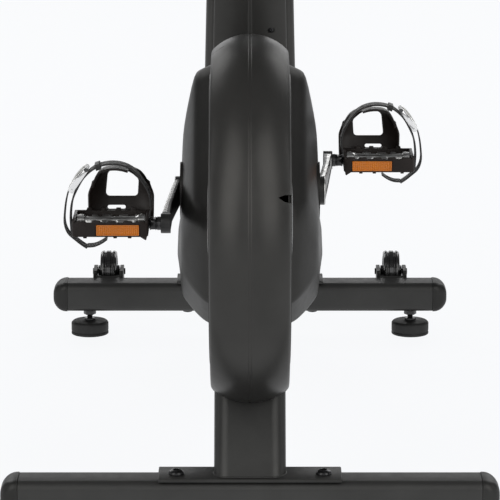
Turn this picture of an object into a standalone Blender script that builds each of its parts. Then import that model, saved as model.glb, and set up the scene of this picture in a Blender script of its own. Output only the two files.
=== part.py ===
"""Upright exercise bike with a wheel-shaped rear flywheel housing, as an assembly of separate pieces.

Metres, +Z up, +Y forward (the way the rider faces), +X to the rider's right. The origin is on the floor,
under the middle of the machine. Every mesh is one closed body.
"""
import math

import bmesh
import bpy
from mathutils import Matrix, Vector

# ---- driving dimensions -----------------------------------------------------------------------------
GAP = 0.0003                      # left between pieces that touch

FRONT_Y = 0.473                   # centre lines of the two stabilisers
REAR_Y = -0.463
TUBE_DEPTH, TUBE_LOW, TUBE_HIGH = 0.050, 0.036, 0.076
TUBE_CORNER, TUBE_WALL = 0.010, 0.0025
FRONT_HALF, REAR_HALF = 0.275, 0.2775
CAP_LENGTH = 0.020
FOOT_X, FOOT_R, STEM_R = 0.225, 0.026, 0.004
PLATE_HALF, PLATE_THICK = 0.102, 0.004
BOLT_X = 0.082

LEG_HALF_X, LEG_HALF_D = 0.040, 0.0175
REAR_LEG_TOP = (-0.405, 0.170)    # (y, z)
FRONT_LEG_TOP = (0.262, 0.190)

CRANK = Vector((0.0, 0.043, 0.295))
CRANK_LENGTH = 0.165
CRANK_TILT = math.radians(2.0)    # front end higher
ARM_HUB_OUT, ARM_END_OUT = 0.0935, 0.1070
ARM_HUB_T, ARM_MID_T, ARM_END_T = 0.0130, 0.0080, 0.0115
ARM_HALF_HUB, ARM_HALF_END = 0.0165, 0.0105
HUB_R, BOSS_R = 0.0180, 0.0120
SPINDLE_R = 0.009

WHEEL = Vector((0.0, -0.352, 0.3445))
WHEEL_R = 0.209
HOUSING_HALF, HOUSING_WALL = 0.044, 0.003
CROWN_R = 0.060                   # radius of the crowned tread across its width
FLYWHEEL_R = 0.160

SEAT_FOOT = Vector((0.0, -0.0763, 0.625))     # seat axis at the tower's top
SEAT_UP = Vector((0.0, -0.330, 0.944)).normalized()
SEAT_FWD = Vector((0.0, 0.944, 0.330)).normalized()
POST_HALF_X, POST_HALF_D = 0.0165, 0.0295
POST_BOTTOM, POST_TOP_Z = -0.205, 0.7475

PIN_DOWN = 0.040                  # spring pin's axis below the tower's top
RAIL_Z, RAIL_TALL = POST_TOP_Z + GAP, 0.018
RAIL_REAR, RAIL_FRONT, RAIL_HALF = -0.215, -0.030, 0.0140
SADDLE_REAR, SADDLE_NOSE, SADDLE_MID = -0.262, 0.018, -0.155
SADDLE_LOW = RAIL_Z + RAIL_TALL + GAP + 0.010

DECK_REAR, DECK_FRONT = (0.036, 0.468), (0.290, 0.400)      # (y, z) ends of the body's sloping top
DECK_RUN = Vector((0.0, DECK_REAR[0] - DECK_FRONT[0], DECK_REAR[1] - DECK_FRONT[1])).normalized()
DECK_UP = Vector((0.0, DECK_RUN.z, -DECK_RUN.y))
DECK_AT = Vector((0.0, *DECK_FRONT))

MAST_FOOT = Vector((0.0, 0.235, 0.440))
MAST_UP = Vector((0.0, 0.1736, 0.9848)).normalized()
MAST_FWD = Vector((0.0, 0.9848, -0.1736)).normalized()
MAST_BOTTOM, MAST_COVER_TOP, MAST_TOP = -0.105, 0.560, 0.618
CLAMP_LOW = MAST_TOP + 0.0005

BAR_R, BAR_Z = 0.0125, 1.070
BAR = MAST_FOOT + MAST_UP * ((BAR_Z - MAST_FOOT.z) / MAST_UP.z)
HORN = [Vector((0.060, 0.0, 0.0)), Vector((0.120, -0.002, 0.002)), Vector((0.175, -0.018, 0.010)),
        Vector((0.215, -0.052, 0.021)), Vector((0.236, -0.098, 0.032)), Vector((0.240, -0.135, 0.038))]
GRIP_RUN = Vector((0.0, -0.985, 0.174)).normalized()
GRIP_LENGTH, GRIP_R, GRIP_END = 0.118, 0.0170, 0.0065
CONSOLE_FACE = Vector((0.0, -0.643, 0.766)).normalized()
CONSOLE_UP = Vector((0.0, 0.766, 0.643)).normalized()
CONSOLE_AT = MAST_FOOT + MAST_UP * (CLAMP_LOW + 0.0755) + Vector((0.0, 0.010, 0.034))
CONSOLE_BACK = -0.018

DIAL_Y, DIAL_R, DIAL_LIFT = 0.115, 0.0215, 0.0012   # upright tension knob, clear of the sloping top
DIAL = DECK_AT + DECK_RUN * ((DIAL_Y - DIAL_R - DECK_AT.y) / DECK_RUN.y) + Vector((0.0, DIAL_R, DIAL_LIFT))

CASTER_X, CASTER_R = 0.200, 0.0295
CASTER_Y, CASTER_Z = FRONT_Y + 0.0600, 0.0750

PULLEY_LOW, PULLEY_HIGH, PULLEY_R, SMALL_R = 0.010, 0.022, 0.100, 0.0175
BELT_T = 0.0025
SHOE_PIVOT_TURN, SHOE_R = math.radians(128), 0.172
SHOE_FROM, SHOE_TO = math.radians(62), math.radians(120)

PEDAL_X = 0.167                   # middle of a pedal
PEDAL_HALF_U, PEDAL_HALF_V = 0.0455, 0.0335
CAGE_WALL, CAGE_LOW, CAGE_HIGH = 0.0045, -0.0105, 0.0125
CLIP_MID_U, CLIP_HALF_U = -0.0105, 0.0395
CLIP_SPINE = [(0.0385, -0.0060), (0.0430, 0.0080), (0.0480, 0.0260), (0.0480, 0.0440), (0.0430, 0.0570),
              (0.0310, 0.0635), (0.0150, 0.0655), (0.0000, 0.0660)]                 # (forward, up)
STRAP_ROUTE = [(-0.0465, 0.0105), (-0.0480, 0.0220), (-0.0465, 0.0360), (-0.0395, 0.0510),
               (-0.0265, 0.0670), (-0.0075, 0.0742), (0.0140, 0.0715), (0.0340, 0.0595),
               (0.0505, 0.0400), (0.0560, 0.0180), (0.0545, 0.0000), (0.0480, -0.0110)]  # (outward, up)

COVER_LEVELS = [                  # x, rear y, front y, low z, rear top z, front top z, corner
    (0.0443, -0.150, 0.284, 0.140, 0.458, 0.396, 0.045),
    (0.0580, -0.135, 0.281, 0.145, 0.451, 0.390, 0.045),
    (0.0700, -0.108, 0.275, 0.152, 0.443, 0.383, 0.045),
    (0.0840, -0.068, 0.266, 0.163, 0.370, 0.335, 0.040),
    (0.0865, -0.030, 0.258, 0.168, 0.325, 0.298, 0.035),
    (0.0890, 0.040, 0.252, 0.175, 0.238, 0.232, 0.012),
    (0.0930, 0.120, 0.246, 0.183, 0.216, 0.211, 0.005),
]

SIDES = ((-1, "left"), (1, "right"))

# ---- materials --------------------------------------------------------------------------------------
FINISHES = {                      # colour, roughness, metallic
    "frame_paint": ((0.030, 0.030, 0.031), 0.38, 0.0),
    "casing_plastic": ((0.035, 0.035, 0.034), 0.42, 0.0),
    "trim_plastic": ((0.018, 0.018, 0.018), 0.45, 0.0),
    "arm_metal": ((0.52, 0.52, 0.51), 0.30, 1.0),
    "bright_metal": ((0.70, 0.70, 0.70), 0.22, 1.0),
    "bolt_black": ((0.012, 0.012, 0.012), 0.20, 0.6),
    "cage_plastic": ((0.030, 0.024, 0.021), 0.50, 0.0),
    "pedal_metal": ((0.62, 0.62, 0.61), 0.35, 1.0),
    "amber": ((0.55, 0.20, 0.03), 0.15, 0.0),
    "strap_web": ((0.020, 0.020, 0.020), 0.70, 0.0),
    "rubber_black": ((0.020, 0.020, 0.020), 0.80, 0.0),
    "wheel_plastic": ((0.015, 0.015, 0.015), 0.18, 0.0),
    "iron_grey": ((0.16, 0.16, 0.16), 0.50, 0.8),
    "belt_rubber": ((0.015, 0.015, 0.015), 0.75, 0.0),
    "saddle_vinyl": ((0.022, 0.022, 0.023), 0.48, 0.0),
    "foam_black": ((0.025, 0.025, 0.025), 0.90, 0.0),
    "console_gloss": ((0.020, 0.020, 0.022), 0.20, 0.0),
}


def clear_scene():
    for obj in list(bpy.data.objects):
        bpy.data.objects.remove(obj, do_unlink=True)


def new_collection(name):
    group = bpy.data.collections.new(name)
    bpy.context.scene.collection.children.link(group)
    return group


def make_finish(name):
    colour, roughness, metallic = FINISHES[name]
    finish = bpy.data.materials.new(name)
    finish.use_nodes = True
    shader = finish.node_tree.nodes["Principled BSDF"]
    shader.inputs["Base Color"].default_value = (*colour, 1.0)
    shader.inputs["Roughness"].default_value = roughness
    shader.inputs["Metallic"].default_value = metallic
    return finish


clear_scene()
PARTS = new_collection("exercise_bike")
CUTTERS = new_collection("cutters")
MATERIALS = {name: make_finish(name) for name in FINISHES}


# ---- shape helpers ----------------------------------------------------------------------------------
def place(name, mesh, finish=None):
    """Puts a mesh in the scene: as a part with its finish, or as a hidden cutter."""
    obj = bpy.data.objects.new(name, mesh)
    if finish:
        mesh.materials.append(MATERIALS[finish])
        PARTS.objects.link(obj)
    else:
        CUTTERS.objects.link(obj)
        obj.hide_render = True
        obj.display_type = 'WIRE'
    return obj


def bevel(obj, width, segments=2, angle=40):
    edge = obj.modifiers.new("rounded_edges", 'BEVEL')
    edge.width = width
    edge.segments = segments
    edge.limit_method = 'ANGLE'
    edge.angle_limit = math.radians(angle)
    return obj


def boolean(obj, other, operation):
    step = obj.modifiers.new(operation.lower(), 'BOOLEAN')
    step.operation = operation
    step.solver = 'EXACT'
    step.object = other
    return obj


def cut(obj, *cutters):
    for cutter in cutters:
        boolean(obj, cutter, 'DIFFERENCE')
    return obj


def join(obj, *others):
    for other in others:
        boolean(obj, other, 'UNION')
    return obj


def box(name, low, high, finish=None):
    mesh = bpy.data.meshes.new(name)
    shape = bmesh.new()
    bmesh.ops.create_cube(shape, size=1.0)
    low, high = Vector(low), Vector(high)
    bmesh.ops.scale(shape, vec=high - low, verts=shape.verts)
    bmesh.ops.translate(shape, vec=(low + high) / 2, verts=shape.verts)
    shape.to_mesh(mesh)
    shape.free()
    return place(name, mesh, finish)


def turn_to(direction):
    """Rotation that takes +Z to a direction."""
    return Vector((0, 0, 1)).rotation_difference(Vector(direction).normalized()).to_matrix().to_4x4()


def rod(name, start, end, radius, finish=None, sides=16):
    start, end = Vector(start), Vector(end)
    mesh = bpy.data.meshes.new(name)
    shape = bmesh.new()
    bmesh.ops.create_cone(shape, cap_ends=True, segments=sides, radius1=radius, radius2=radius,
                          depth=(end - start).length)
    shape.to_mesh(mesh)
    shape.free()
    obj = place(name, mesh, finish)
    obj.matrix_world = Matrix.Translation((start + end) / 2) @ turn_to(end - start)
    smooth(obj)
    return obj


def turned(name, profile, base, direction, finish=None, steps=24, ring=False):
    """A profile of (radius, height) points, from the top down the outer side, turned about an axis."""
    mesh = bpy.data.meshes.new(name)
    count = len(profile)
    edges = [(i, i + 1) for i in range(count - 1)]
    if ring:
        edges.append((count - 1, 0))
    mesh.from_pydata([(radius, 0.0, height) for radius, height in profile], edges, [])
    obj = place(name, mesh, finish)
    screw = obj.modifiers.new("turned", 'SCREW')
    screw.steps = steps
    screw.render_steps = steps
    screw.use_merge_vertices = True
    screw.merge_threshold = 0.00001
    screw.use_smooth_shade = True
    obj.matrix_world = Matrix.Translation(Vector(base)) @ turn_to(direction)
    return obj


def smooth(obj, angle=35):
    obj.data.shade_smooth()
    obj.data.set_sharp_from_angle(angle=math.radians(angle))


def loft(name, rings, finish=None, ring_body=False):
    """Skins rings of equal point counts. ring_body joins the last ring to the first, with no caps."""
    mesh = bpy.data.meshes.new(name)
    shape = bmesh.new()
    loops = [[shape.verts.new(point) for point in ring] for ring in rings]
    pairs = list(zip(loops, loops[1:]))
    if ring_body:
        pairs.append((loops[-1], loops[0]))
    for first, second in pairs:
        count = len(first)
        for i in range(count):
            j = (i + 1) % count
            shape.faces.new((first[i], first[j], second[j], second[i]))
    if not ring_body:
        shape.faces.new(loops[0])
        shape.faces.new(loops[-1])
    bmesh.ops.recalc_face_normals(shape, faces=shape.faces)
    shape.to_mesh(mesh)
    shape.free()
    obj = place(name, mesh, finish)
    smooth(obj)
    return obj


def fillet(corners, steps=4):
    """Rounds a closed polygon: corners are (a, b, radius), and a radius of 0 keeps the point."""
    points = []
    count = len(corners)
    for i, (a, b, radius) in enumerate(corners):
        here = Vector((a, b))
        if radius <= 0:
            points.append(here)
            continue
        before = (Vector(corners[i - 1][:2]) - here).normalized()
        after = (Vector(corners[(i + 1) % count][:2]) - here).normalized()
        half = before.angle(after) / 2
        reach = radius / math.tan(half)
        centre = here + (before + after).normalized() * (radius / math.sin(half))
        start = here + before * reach - centre
        end = here + after * reach - centre
        sweep = start.angle_signed(end)
        for k in range(steps + 1):
            turn = -sweep * k / steps
            points.append(centre + Matrix.Rotation(turn, 2) @ start)
    return points


def inset(points, amount):
    """Moves each point of a counter-clockwise outline inwards; amount is one number for each point."""
    moved = []
    count = len(points)
    for i in range(count):
        along = (points[(i + 1) % count] - points[i - 1]).normalized()
        inward = Vector((-along.y, along.x))
        moved.append(points[i] + inward * amount[i])
    return moved


def rounded_section(half_a, half_b, corner, steps=2):
    return fillet([(half_a, -half_b, corner), (half_a, half_b, corner),
                   (-half_a, half_b, corner), (-half_a, -half_b, corner)], steps)


def section_ring(section, centre, across, along):
    return [Vector(centre) + Vector(across) * a + Vector(along) * b for a, b in section]


def prism(name, outline, x_low, x_high, finish=None):
    """A (y, z) outline carried from one x to another."""
    return loft(name, [[Vector((x, y, z)) for y, z in outline] for x in (x_low, x_high)], finish)


def smooth_path(points, per_span):
    """Catmull-Rom points through a list of points."""
    ends = [points[0] * 2 - points[1]] + points + [points[-1] * 2 - points[-2]]
    path = []
    for i in range(1, len(ends) - 2):
        p0, p1, p2, p3 = ends[i - 1:i + 3]
        for k in range(per_span):
            t = k / per_span
            path.append(0.5 * (2 * p1 + (p2 - p0) * t + (2 * p0 - 5 * p1 + 4 * p2 - p3) * t * t
                               + (3 * p1 - p0 - 3 * p2 + p3) * t ** 3))
    path.append(points[-1])
    return path


def tube_along(name, points, radius, finish):
    curve = bpy.data.curves.new(name, 'CURVE')
    curve.dimensions = '3D'
    curve.bevel_depth = radius
    curve.bevel_resolution = 2
    curve.use_fill_caps = True
    line = curve.splines.new('POLY')
    line.points.add(len(points) - 1)
    for spot, point in zip(line.points, points):
        spot.co = (*point, 1.0)
    curve.materials.append(MATERIALS[finish])
    obj = bpy.data.objects.new(name, curve)
    PARTS.objects.link(obj)
    return obj


def hang_on(name, position, pieces):
    """Parents pieces to an empty on their joint axis, without moving them."""
    pivot = bpy.data.objects.new(name, None)
    PARTS.objects.link(pivot)
    pivot.location = position
    bpy.context.view_layer.update()
    for piece in pieces:
        world = piece.matrix_world.copy()
        piece.parent = pivot
        piece.matrix_parent_inverse = pivot.matrix_world.inverted()
        piece.matrix_world = world
    return pivot


# ---- base: stabilisers, caps, feet, transport wheels ------------------------------------------------
def stabiliser(name, y, half_length):
    reach = half_length - CAP_LENGTH - GAP
    middle = (TUBE_LOW + TUBE_HIGH) / 2
    half_d, half_h = TUBE_DEPTH / 2, (TUBE_HIGH - TUBE_LOW) / 2
    outer = rounded_section(half_d, half_h, TUBE_CORNER, 3)
    inner = rounded_section(half_d - TUBE_WALL, half_h - TUBE_WALL, TUBE_CORNER - TUBE_WALL, 3)
    rings = []
    for section, ends in ((outer, (-reach, reach)), (inner, (reach, -reach))):
        for x in ends:
            rings.append(section_ring(section, (x, y, middle), (0, 1, 0), (0, 0, 1)))
    tube = loft(name, rings, "frame_paint", ring_body=True)
    for side in (-1, 1):
        x = side * FOOT_X
        cut(tube, rod(f"{name}_foot_hole_{side}", (x, y, TUBE_LOW - 0.01), (x, y, TUBE_LOW + 0.01),
                      STEM_R + GAP, sides=16))
    return tube


def end_cap(name, y, half_length, side):
    """Domed plastic cap: its sections shrink along a quarter circle towards the end."""
    middle = (TUBE_LOW + TUBE_HIGH) / 2
    start = half_length - CAP_LENGTH
    rings = []
    for k in range(5):
        turn = math.pi / 2 * k / 4
        x = start + CAP_LENGTH * math.sin(turn)
        shrink = 0.017 * (1 - math.cos(turn))
        half_h = (TUBE_HIGH - TUBE_LOW) / 2 + 0.0006 - shrink
        section = rounded_section(TUBE_DEPTH / 2 + 0.0006 - shrink * 0.9, half_h,
                                  min(TUBE_CORNER, half_h * 0.8), 3)
        rings.append(section_ring(section, (side * x, y, middle), (0, 1, 0), (0, 0, 1)))
    return loft(name, rings, "trim_plastic")


def levelling_foot(name, x, y):
    """Domed rubber pad with a nut and a threaded stem that goes up into the tube."""
    nut, neck, stem_top = 0.0085, 0.0060, 0.056
    profile = [(0.0, stem_top), (STEM_R, stem_top), (STEM_R, 0.0350), (nut, 0.0350), (nut, 0.0275),
               (neck, 0.0275), (neck, 0.0190), (0.0235, 0.0183), (FOOT_R, 0.0160),
               (FOOT_R, 0.0), (0.0, 0.0)]
    return turned(name, profile, (x, y, 0.0), (0, 0, 1), "rubber_black", steps=16)


def transport_bracket(name, side):
    """A folded U bracket on the tube's front face, with the axle bolt through its ears."""
    x = side * CASTER_X
    ear, inside, axle_half = 0.0210, 0.0160, 0.0240
    face = FRONT_Y + TUBE_DEPTH / 2 + GAP
    frame = box(name, (x - ear, face, 0.0500), (x + ear, CASTER_Y + 0.012, CASTER_Z + 0.0085), "frame_paint")
    slot = box(f"{name}_slot", (x - inside, face + 0.004, 0.03), (x + inside, CASTER_Y + 0.03, 0.11))
    notch = box(f"{name}_notch", (x - inside, face - 0.01, TUBE_HIGH), (x + inside, CASTER_Y, 0.11))
    bevel(frame, 0.0015, 1)
    cut(frame, slot, notch)
    join(frame, rod(f"{name}_axle", (x - axle_half, CASTER_Y, CASTER_Z), (x + axle_half, CASTER_Y, CASTER_Z),
                    0.004, sides=16))
    return frame


def transport_wheel(name, side):
    half, hub_half, bore, edge = 0.0115, 0.0150, 0.0043, 0.003
    profile = [(bore, hub_half), (0.009, hub_half), (0.010, half), (CASTER_R - edge, half),
               (CASTER_R, half - edge), (CASTER_R, -half + edge), (CASTER_R - edge, -half),
               (0.010, -half), (0.009, -hub_half), (bore, -hub_half)]
    return turned(name, profile, (side * CASTER_X, CASTER_Y, CASTER_Z), (1, 0, 0), "wheel_plastic",
                  steps=20, ring=True)


# ---- frame: legs with their plates, side plates, seat tube, mast tube ---------------------------------
def leg(name, tube_y, top):
    """A flat-oval leg on its base plate."""
    low = TUBE_HIGH + GAP
    plate = box(name, (-PLATE_HALF, tube_y - 0.025, low), (PLATE_HALF, tube_y + 0.025, low + PLATE_THICK),
                "frame_paint")
    oval = rounded_section(LEG_HALF_X, LEG_HALF_D, LEG_HALF_D - 0.0005, 5)
    foot, top, _, across = leg_run(tube_y, top)
    rings = [section_ring(oval, foot, (1, 0, 0), (0, 1, 0)),
             section_ring(oval, top, (1, 0, 0), across)]
    join(plate, loft(f"{name}_oval", rings))
    return plate


def leg_run(tube_y, top):
    """A leg's two end points, its direction, and the direction across it."""
    foot = Vector((0.0, tube_y, TUBE_HIGH + GAP + PLATE_THICK / 2))
    top = Vector((0.0, *top))
    run = (top - foot).normalized()
    return foot, top, run, Vector((0.0, run.z, -run.y))


def leg_end(tube_y, top, side):
    """A point on the corner of a leg's end face, a gap beyond it."""
    _, top, run, across = leg_run(tube_y, top)
    point = top + run * GAP * 1.5 + across * LEG_HALF_D * side
    return (point.y, point.z, 0.0)


def frame_plate(name, side):
    """Flat side plate between the two legs, the flywheel axle and the bottom bracket."""
    outline = fillet([leg_end(REAR_Y, REAR_LEG_TOP, -1), leg_end(REAR_Y, REAR_LEG_TOP, 1),
                      (-0.330, 0.300, 0.03), (0.000, 0.245, 0.06),
                      leg_end(FRONT_Y, FRONT_LEG_TOP, -1), leg_end(FRONT_Y, FRONT_LEG_TOP, 1),
                      (0.262, 0.385, 0.01), (0.200, 0.396, 0.02),
                      (0.110, 0.345, 0.04), (0.000, 0.440, 0.02), (-0.055, 0.450, 0.015),
                      (-0.055, 0.360, 0.03), (-0.370, 0.385, 0.02)], 3)
    plate = prism(name, outline, side * 0.031, side * 0.035, "frame_paint")
    bracket_r = 0.0223 if side < 0 else 0.0125
    for label, centre, radius in (("axle", WHEEL, 0.0063), ("bracket", CRANK, bracket_r)):
        reach = Vector((0.05, 0, 0))
        cut(plate, rod(f"{name}_{label}_hole", centre - reach, centre + reach, radius))
    return plate


def cut_ring(section, base, forward, up, point, normal):
    """A section of a leaning column, cut off where it meets a plane."""
    ring = []
    for x, d in section:
        low = base + forward * d
        ring.append(low + up * ((point - low).dot(normal) / up.dot(normal)) + Vector((x, 0, 0)))
    return ring


def hollow_section(name, half_x, half_d, wall, corner, base, up, forward, low, high, finish):
    outer = rounded_section(half_x, half_d, corner)
    inner = rounded_section(half_x - wall, half_d - wall, corner - wall)
    rings = []
    for section, ends in ((outer, (low, high)), (inner, (high, low))):
        for reach in ends:
            rings.append(section_ring(section, base + up * reach, (1, 0, 0), forward))
    return loft(name, rings, finish, ring_body=True)


# ---- drive --------------------------------------------------------------------------------------------
def flywheel():
    profile = [(0.0064, 0.0245), (SMALL_R - 0.0005, 0.0245), (SMALL_R - 0.0005, 0.0060),
               (0.0240, 0.0050), (0.0240, -0.0060), (0.1200, -0.0060), (0.1240, 0.0020),
               (FLYWHEEL_R, 0.0020), (FLYWHEEL_R, -0.0260), (0.1240, -0.0260), (0.1200, -0.0180),
               (0.0240, -0.0180), (0.0240, -0.0290), (0.0064, -0.0290)]
    return turned("flywheel", profile, WHEEL, (1, 0, 0), "iron_grey", steps=24, ring=True)


def crank_pulley():
    low, high, edge = PULLEY_LOW, PULLEY_HIGH, PULLEY_R - 0.0003
    profile = [(SPINDLE_R + GAP, high), (0.020, high), (0.021, high - 0.004), (0.088, high - 0.004),
               (0.090, high), (edge, high), (edge, low), (0.090, low), (0.088, low + 0.004),
               (0.021, low + 0.004), (0.020, low), (SPINDLE_R + GAP, low)]
    return turned("crank_pulley", profile, CRANK, (1, 0, 0), "trim_plastic", steps=24, ring=True)


def belt_outline(extra):
    """Two arcs about the pulleys, joined by their outer tangents."""
    big, small = PULLEY_R + extra, SMALL_R + extra
    centres = Vector((CRANK.y, CRANK.z)), Vector((WHEEL.y, WHEEL.z))
    line = centres[1] - centres[0]
    heading = math.atan2(line.y, line.x)
    lean = math.acos((big - small) / line.length)
    points = []
    for centre, radius, start, stop, steps in (
            (centres[0], big, heading + lean, heading + 2 * math.pi - lean, 22),
            (centres[1], small, heading - lean, heading + lean, 10)):
        for k in range(steps + 1):
            turn = start + (stop - start) * k / steps
            points.append(centre + Vector((math.cos(turn), math.sin(turn))) * radius)
    return points


def drive_belt():
    rings = []
    for extra, ends in ((BELT_T, (PULLEY_LOW, PULLEY_HIGH)), (0.0002, (PULLEY_HIGH, PULLEY_LOW))):
        for x in ends:
            rings.append([Vector((x, y, z)) for y, z in belt_outline(extra)])
    return loft("drive_belt", rings, "belt_rubber", ring_body=True)


def arc_point(radius, turn):
    return Vector((WHEEL.y + radius * math.cos(turn), WHEEL.z + radius * math.sin(turn)))


def brake_shoe():
    """Magnet carrier: an arc over the flywheel's rim, with its pivot pin at the rear end."""
    turns = [SHOE_FROM + (SHOE_TO - SHOE_FROM) * k / 8 for k in range(9)]
    outline = [arc_point(0.1645, turn) for turn in turns] + [arc_point(0.179, turn) for turn in turns[::-1]]
    shoe = prism("brake_shoe", outline, -0.028, 0.004, "iron_grey")
    pivot = arc_point(SHOE_R, SHOE_PIVOT_TURN)
    lug = rod("brake_shoe_lug", (-0.012, pivot.x, pivot.y), (-0.004, pivot.x, pivot.y), 0.011, sides=20)
    turns = [math.radians(116), SHOE_PIVOT_TURN]
    bridge = [arc_point(0.1660, turn) for turn in turns] + [arc_point(0.1778, turn) for turn in turns[::-1]]
    pin = rod("brake_shoe_pin", (-0.036, pivot.x, pivot.y), (0.030, pivot.x, pivot.y), 0.004, sides=16)
    join(shoe, prism("brake_shoe_bridge", bridge, -0.0115, -0.0045), lug, pin)
    return shoe


# ---- cranks and pedals --------------------------------------------------------------------------------
def crank_end(side):
    """Pedal axle point: the left arm points back, the right arm forward."""
    along = Vector((0.0, math.cos(CRANK_TILT), math.sin(CRANK_TILT)))
    return CRANK + along * CRANK_LENGTH * side


def crank_arm(name, side):
    along = Vector((0.0, math.cos(CRANK_TILT), math.sin(CRANK_TILT))) * side
    upward = Vector((0.0, -along.z, along.y))
    rings = []
    edge = 0.0015
    for share in (0.0, 0.12, 0.35, 0.7, 0.92, 1.0):
        out = ARM_HUB_OUT + (ARM_END_OUT - ARM_HUB_OUT) * share ** 0.9
        thick = ARM_MID_T + (ARM_END_T - ARM_MID_T) * max(0.0, share * 3 - 2)
        half = ARM_HALF_HUB + (ARM_HALF_END - ARM_HALF_HUB) * share
        section = [(out - thick, half - edge), (out - thick + edge, half), (out - edge, half),
                   (out, half - edge), (out, -half + edge), (out - edge, -half),
                   (out - thick + edge, -half), (out - thick, -half + edge)]
        centre = CRANK + along * CRANK_LENGTH * share
        rings.append([Vector((side * x, centre.y, centre.z)) + upward * b for x, b in section])
    arm = loft(name, rings, "arm_metal")
    hub = rod(f"{name}_hub", CRANK + Vector((side * (ARM_HUB_OUT - ARM_HUB_T), 0, 0)),
              CRANK + Vector((side * (ARM_HUB_OUT + 0.0008), 0, 0)), HUB_R, sides=20)
    end = crank_end(side)
    boss = rod(f"{name}_boss", end + Vector((side * (ARM_END_OUT - ARM_END_T), 0, 0)),
               end + Vector((side * (ARM_END_OUT + 0.0003), 0, 0)), BOSS_R, sides=20)
    join(arm, hub, boss)
    socket = rod(f"{name}_socket", CRANK + Vector((side * 0.05, 0, 0)),
                 CRANK + Vector((side * 0.0885, 0, 0)), SPINDLE_R + GAP)
    thread = rod(f"{name}_thread", end + Vector((side * 0.08, 0, 0)), end + Vector((side * 0.12, 0, 0)),
                 0.0072)
    return cut(arm, socket, thread)


def pedal_axle(name, side):
    """Shoulder outside the arm, thread inside it, and a thinner journal through the pedal."""
    end = crank_end(side)
    profile = [(0.0, 0.2085), (0.0040, 0.2085), (0.0040, 0.1212), (0.0078, 0.1205), (0.0082, 0.1198),
               (0.0082, 0.1076), (0.0069, 0.1076), (0.0069, 0.0960), (0.0, 0.0960)]
    return turned(name, profile, (0.0, end.y, end.z), (side, 0, 0), "bolt_black", steps=16)


def pedal_frame(side):
    """Origin, outward and forward directions of a pedal."""
    end = crank_end(side)
    return Vector((side * PEDAL_X, end.y, end.z)), Vector((side, 0, 0)), Vector((0, 1, 0))


def pedal_box(name, side, low, high, finish=None):
    origin, out, forward = pedal_frame(side)
    first = origin + out * low[0] + forward * low[1] + Vector((0, 0, low[2]))
    last = origin + out * high[0] + forward * high[1] + Vector((0, 0, high[2]))
    lows = [min(a, b) for a, b in zip(first, last)]
    highs = [max(a, b) for a, b in zip(first, last)]
    return box(name, lows, highs, finish)


def pedal_body(name, side):
    """Die-cast body: a barrel on the axle and two cross pieces that carry the cage."""
    origin, out, _ = pedal_frame(side)
    body = pedal_box(name, side, (-0.0405, -0.0270, -0.0045), (-0.0325, 0.0270, 0.0060), "pedal_metal")
    arm = pedal_box(f"{name}_cross", side, (0.0325, -0.0270, -0.0045), (0.0405, 0.0270, 0.0060))
    barrel = rod(f"{name}_barrel", origin - out * 0.0405, origin + out * 0.0405, 0.0105)
    bore = rod(f"{name}_bore", origin - out * 0.07, origin + out * 0.07, 0.0043, sides=20)
    join(body, arm, barrel)
    return cut(body, bore)


def pedal_cage(name, side):
    """Toothed ring plate round the body: tall front and rear walls, low ends."""
    end, front = CAGE_WALL, CAGE_WALL + 0.0015
    cage = pedal_box(name, side, (-PEDAL_HALF_U, -PEDAL_HALF_V, CAGE_LOW),
                     (PEDAL_HALF_U, PEDAL_HALF_V, CAGE_HIGH), "cage_plastic")
    hollow = pedal_box(f"{name}_hollow", side, (-PEDAL_HALF_U + end, -PEDAL_HALF_V + front, -0.03),
                       (PEDAL_HALF_U - end, PEDAL_HALF_V - front, 0.03))
    dip = pedal_box(f"{name}_dip", side, (-0.06, -0.0245, 0.0100), (0.06, 0.0245, 0.03))
    under = pedal_box(f"{name}_under", side, (-0.06, -0.0245, -0.03), (0.06, 0.0245, -0.0090))
    cut(cage, hollow, dip, under)
    origin, out, _ = pedal_frame(side)
    cut(cage, rod(f"{name}_axle_way", origin - out * 0.07, origin + out * 0.07, 0.0088, sides=20))
    recess = pedal_box(f"{name}_recess", side, (-0.0375, -0.04, -0.0085),
                       (0.0195, -PEDAL_HALF_V + 0.0020, 0.0060))
    cut(cage, recess)
    tooth_gap, pitch = 0.0040, 0.019
    for k in range(-2, 3):
        cut(cage, pedal_box(f"{name}_gap_{k}", side, (pitch * k - tooth_gap, -0.05, CAGE_HIGH - 0.003),
                            (pitch * k + tooth_gap, 0.05, 0.03)))
    return cage


def reflector(name, side):
    obj = pedal_box(name, side, (-0.0345, -PEDAL_HALF_V - 0.0003, -0.0078),
                    (0.0165, -PEDAL_HALF_V + 0.0017, 0.0050), "amber")
    return bevel(obj, 0.0005, 1)


def ease(value, start, stop):
    """0 before start, 1 after stop, and a smooth step between them."""
    t = min(1.0, max(0.0, (value - start) / (stop - start)))
    return t * t * (3 - 2 * t)


def clip_point(side, share, across):
    """A point of the toe clip: share runs up and back over the toe, across from -1 to 1.

    The upright panel is wide at its foot; above the toe it narrows to a tongue that carries the strap.
    """
    origin, out, forward = pedal_frame(side)
    spot = share * (len(CLIP_SPINE) - 1)
    low = min(int(spot), len(CLIP_SPINE) - 2)
    v, w = Vector(CLIP_SPINE[low]).lerp(Vector(CLIP_SPINE[low + 1]), spot - low)
    tongue = ease(share, 0.58, 0.86)
    half = CLIP_HALF_U - 0.0050 * ease(share, 0.28, 0.42) - 0.0180 * tongue
    u = CLIP_MID_U + 0.0065 * tongue + across * half
    droop = 0.022 * abs(across) ** 5 * ease(share, 0.40, 0.60) * (1 - tongue) + 0.0030 * across ** 2 * tongue
    pull = 0.014 * abs(across) ** 3 * min(1.0, share * 3) * (1 - share)
    return origin + out * u + forward * (v - pull) + Vector((0, 0, w - droop))


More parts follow.
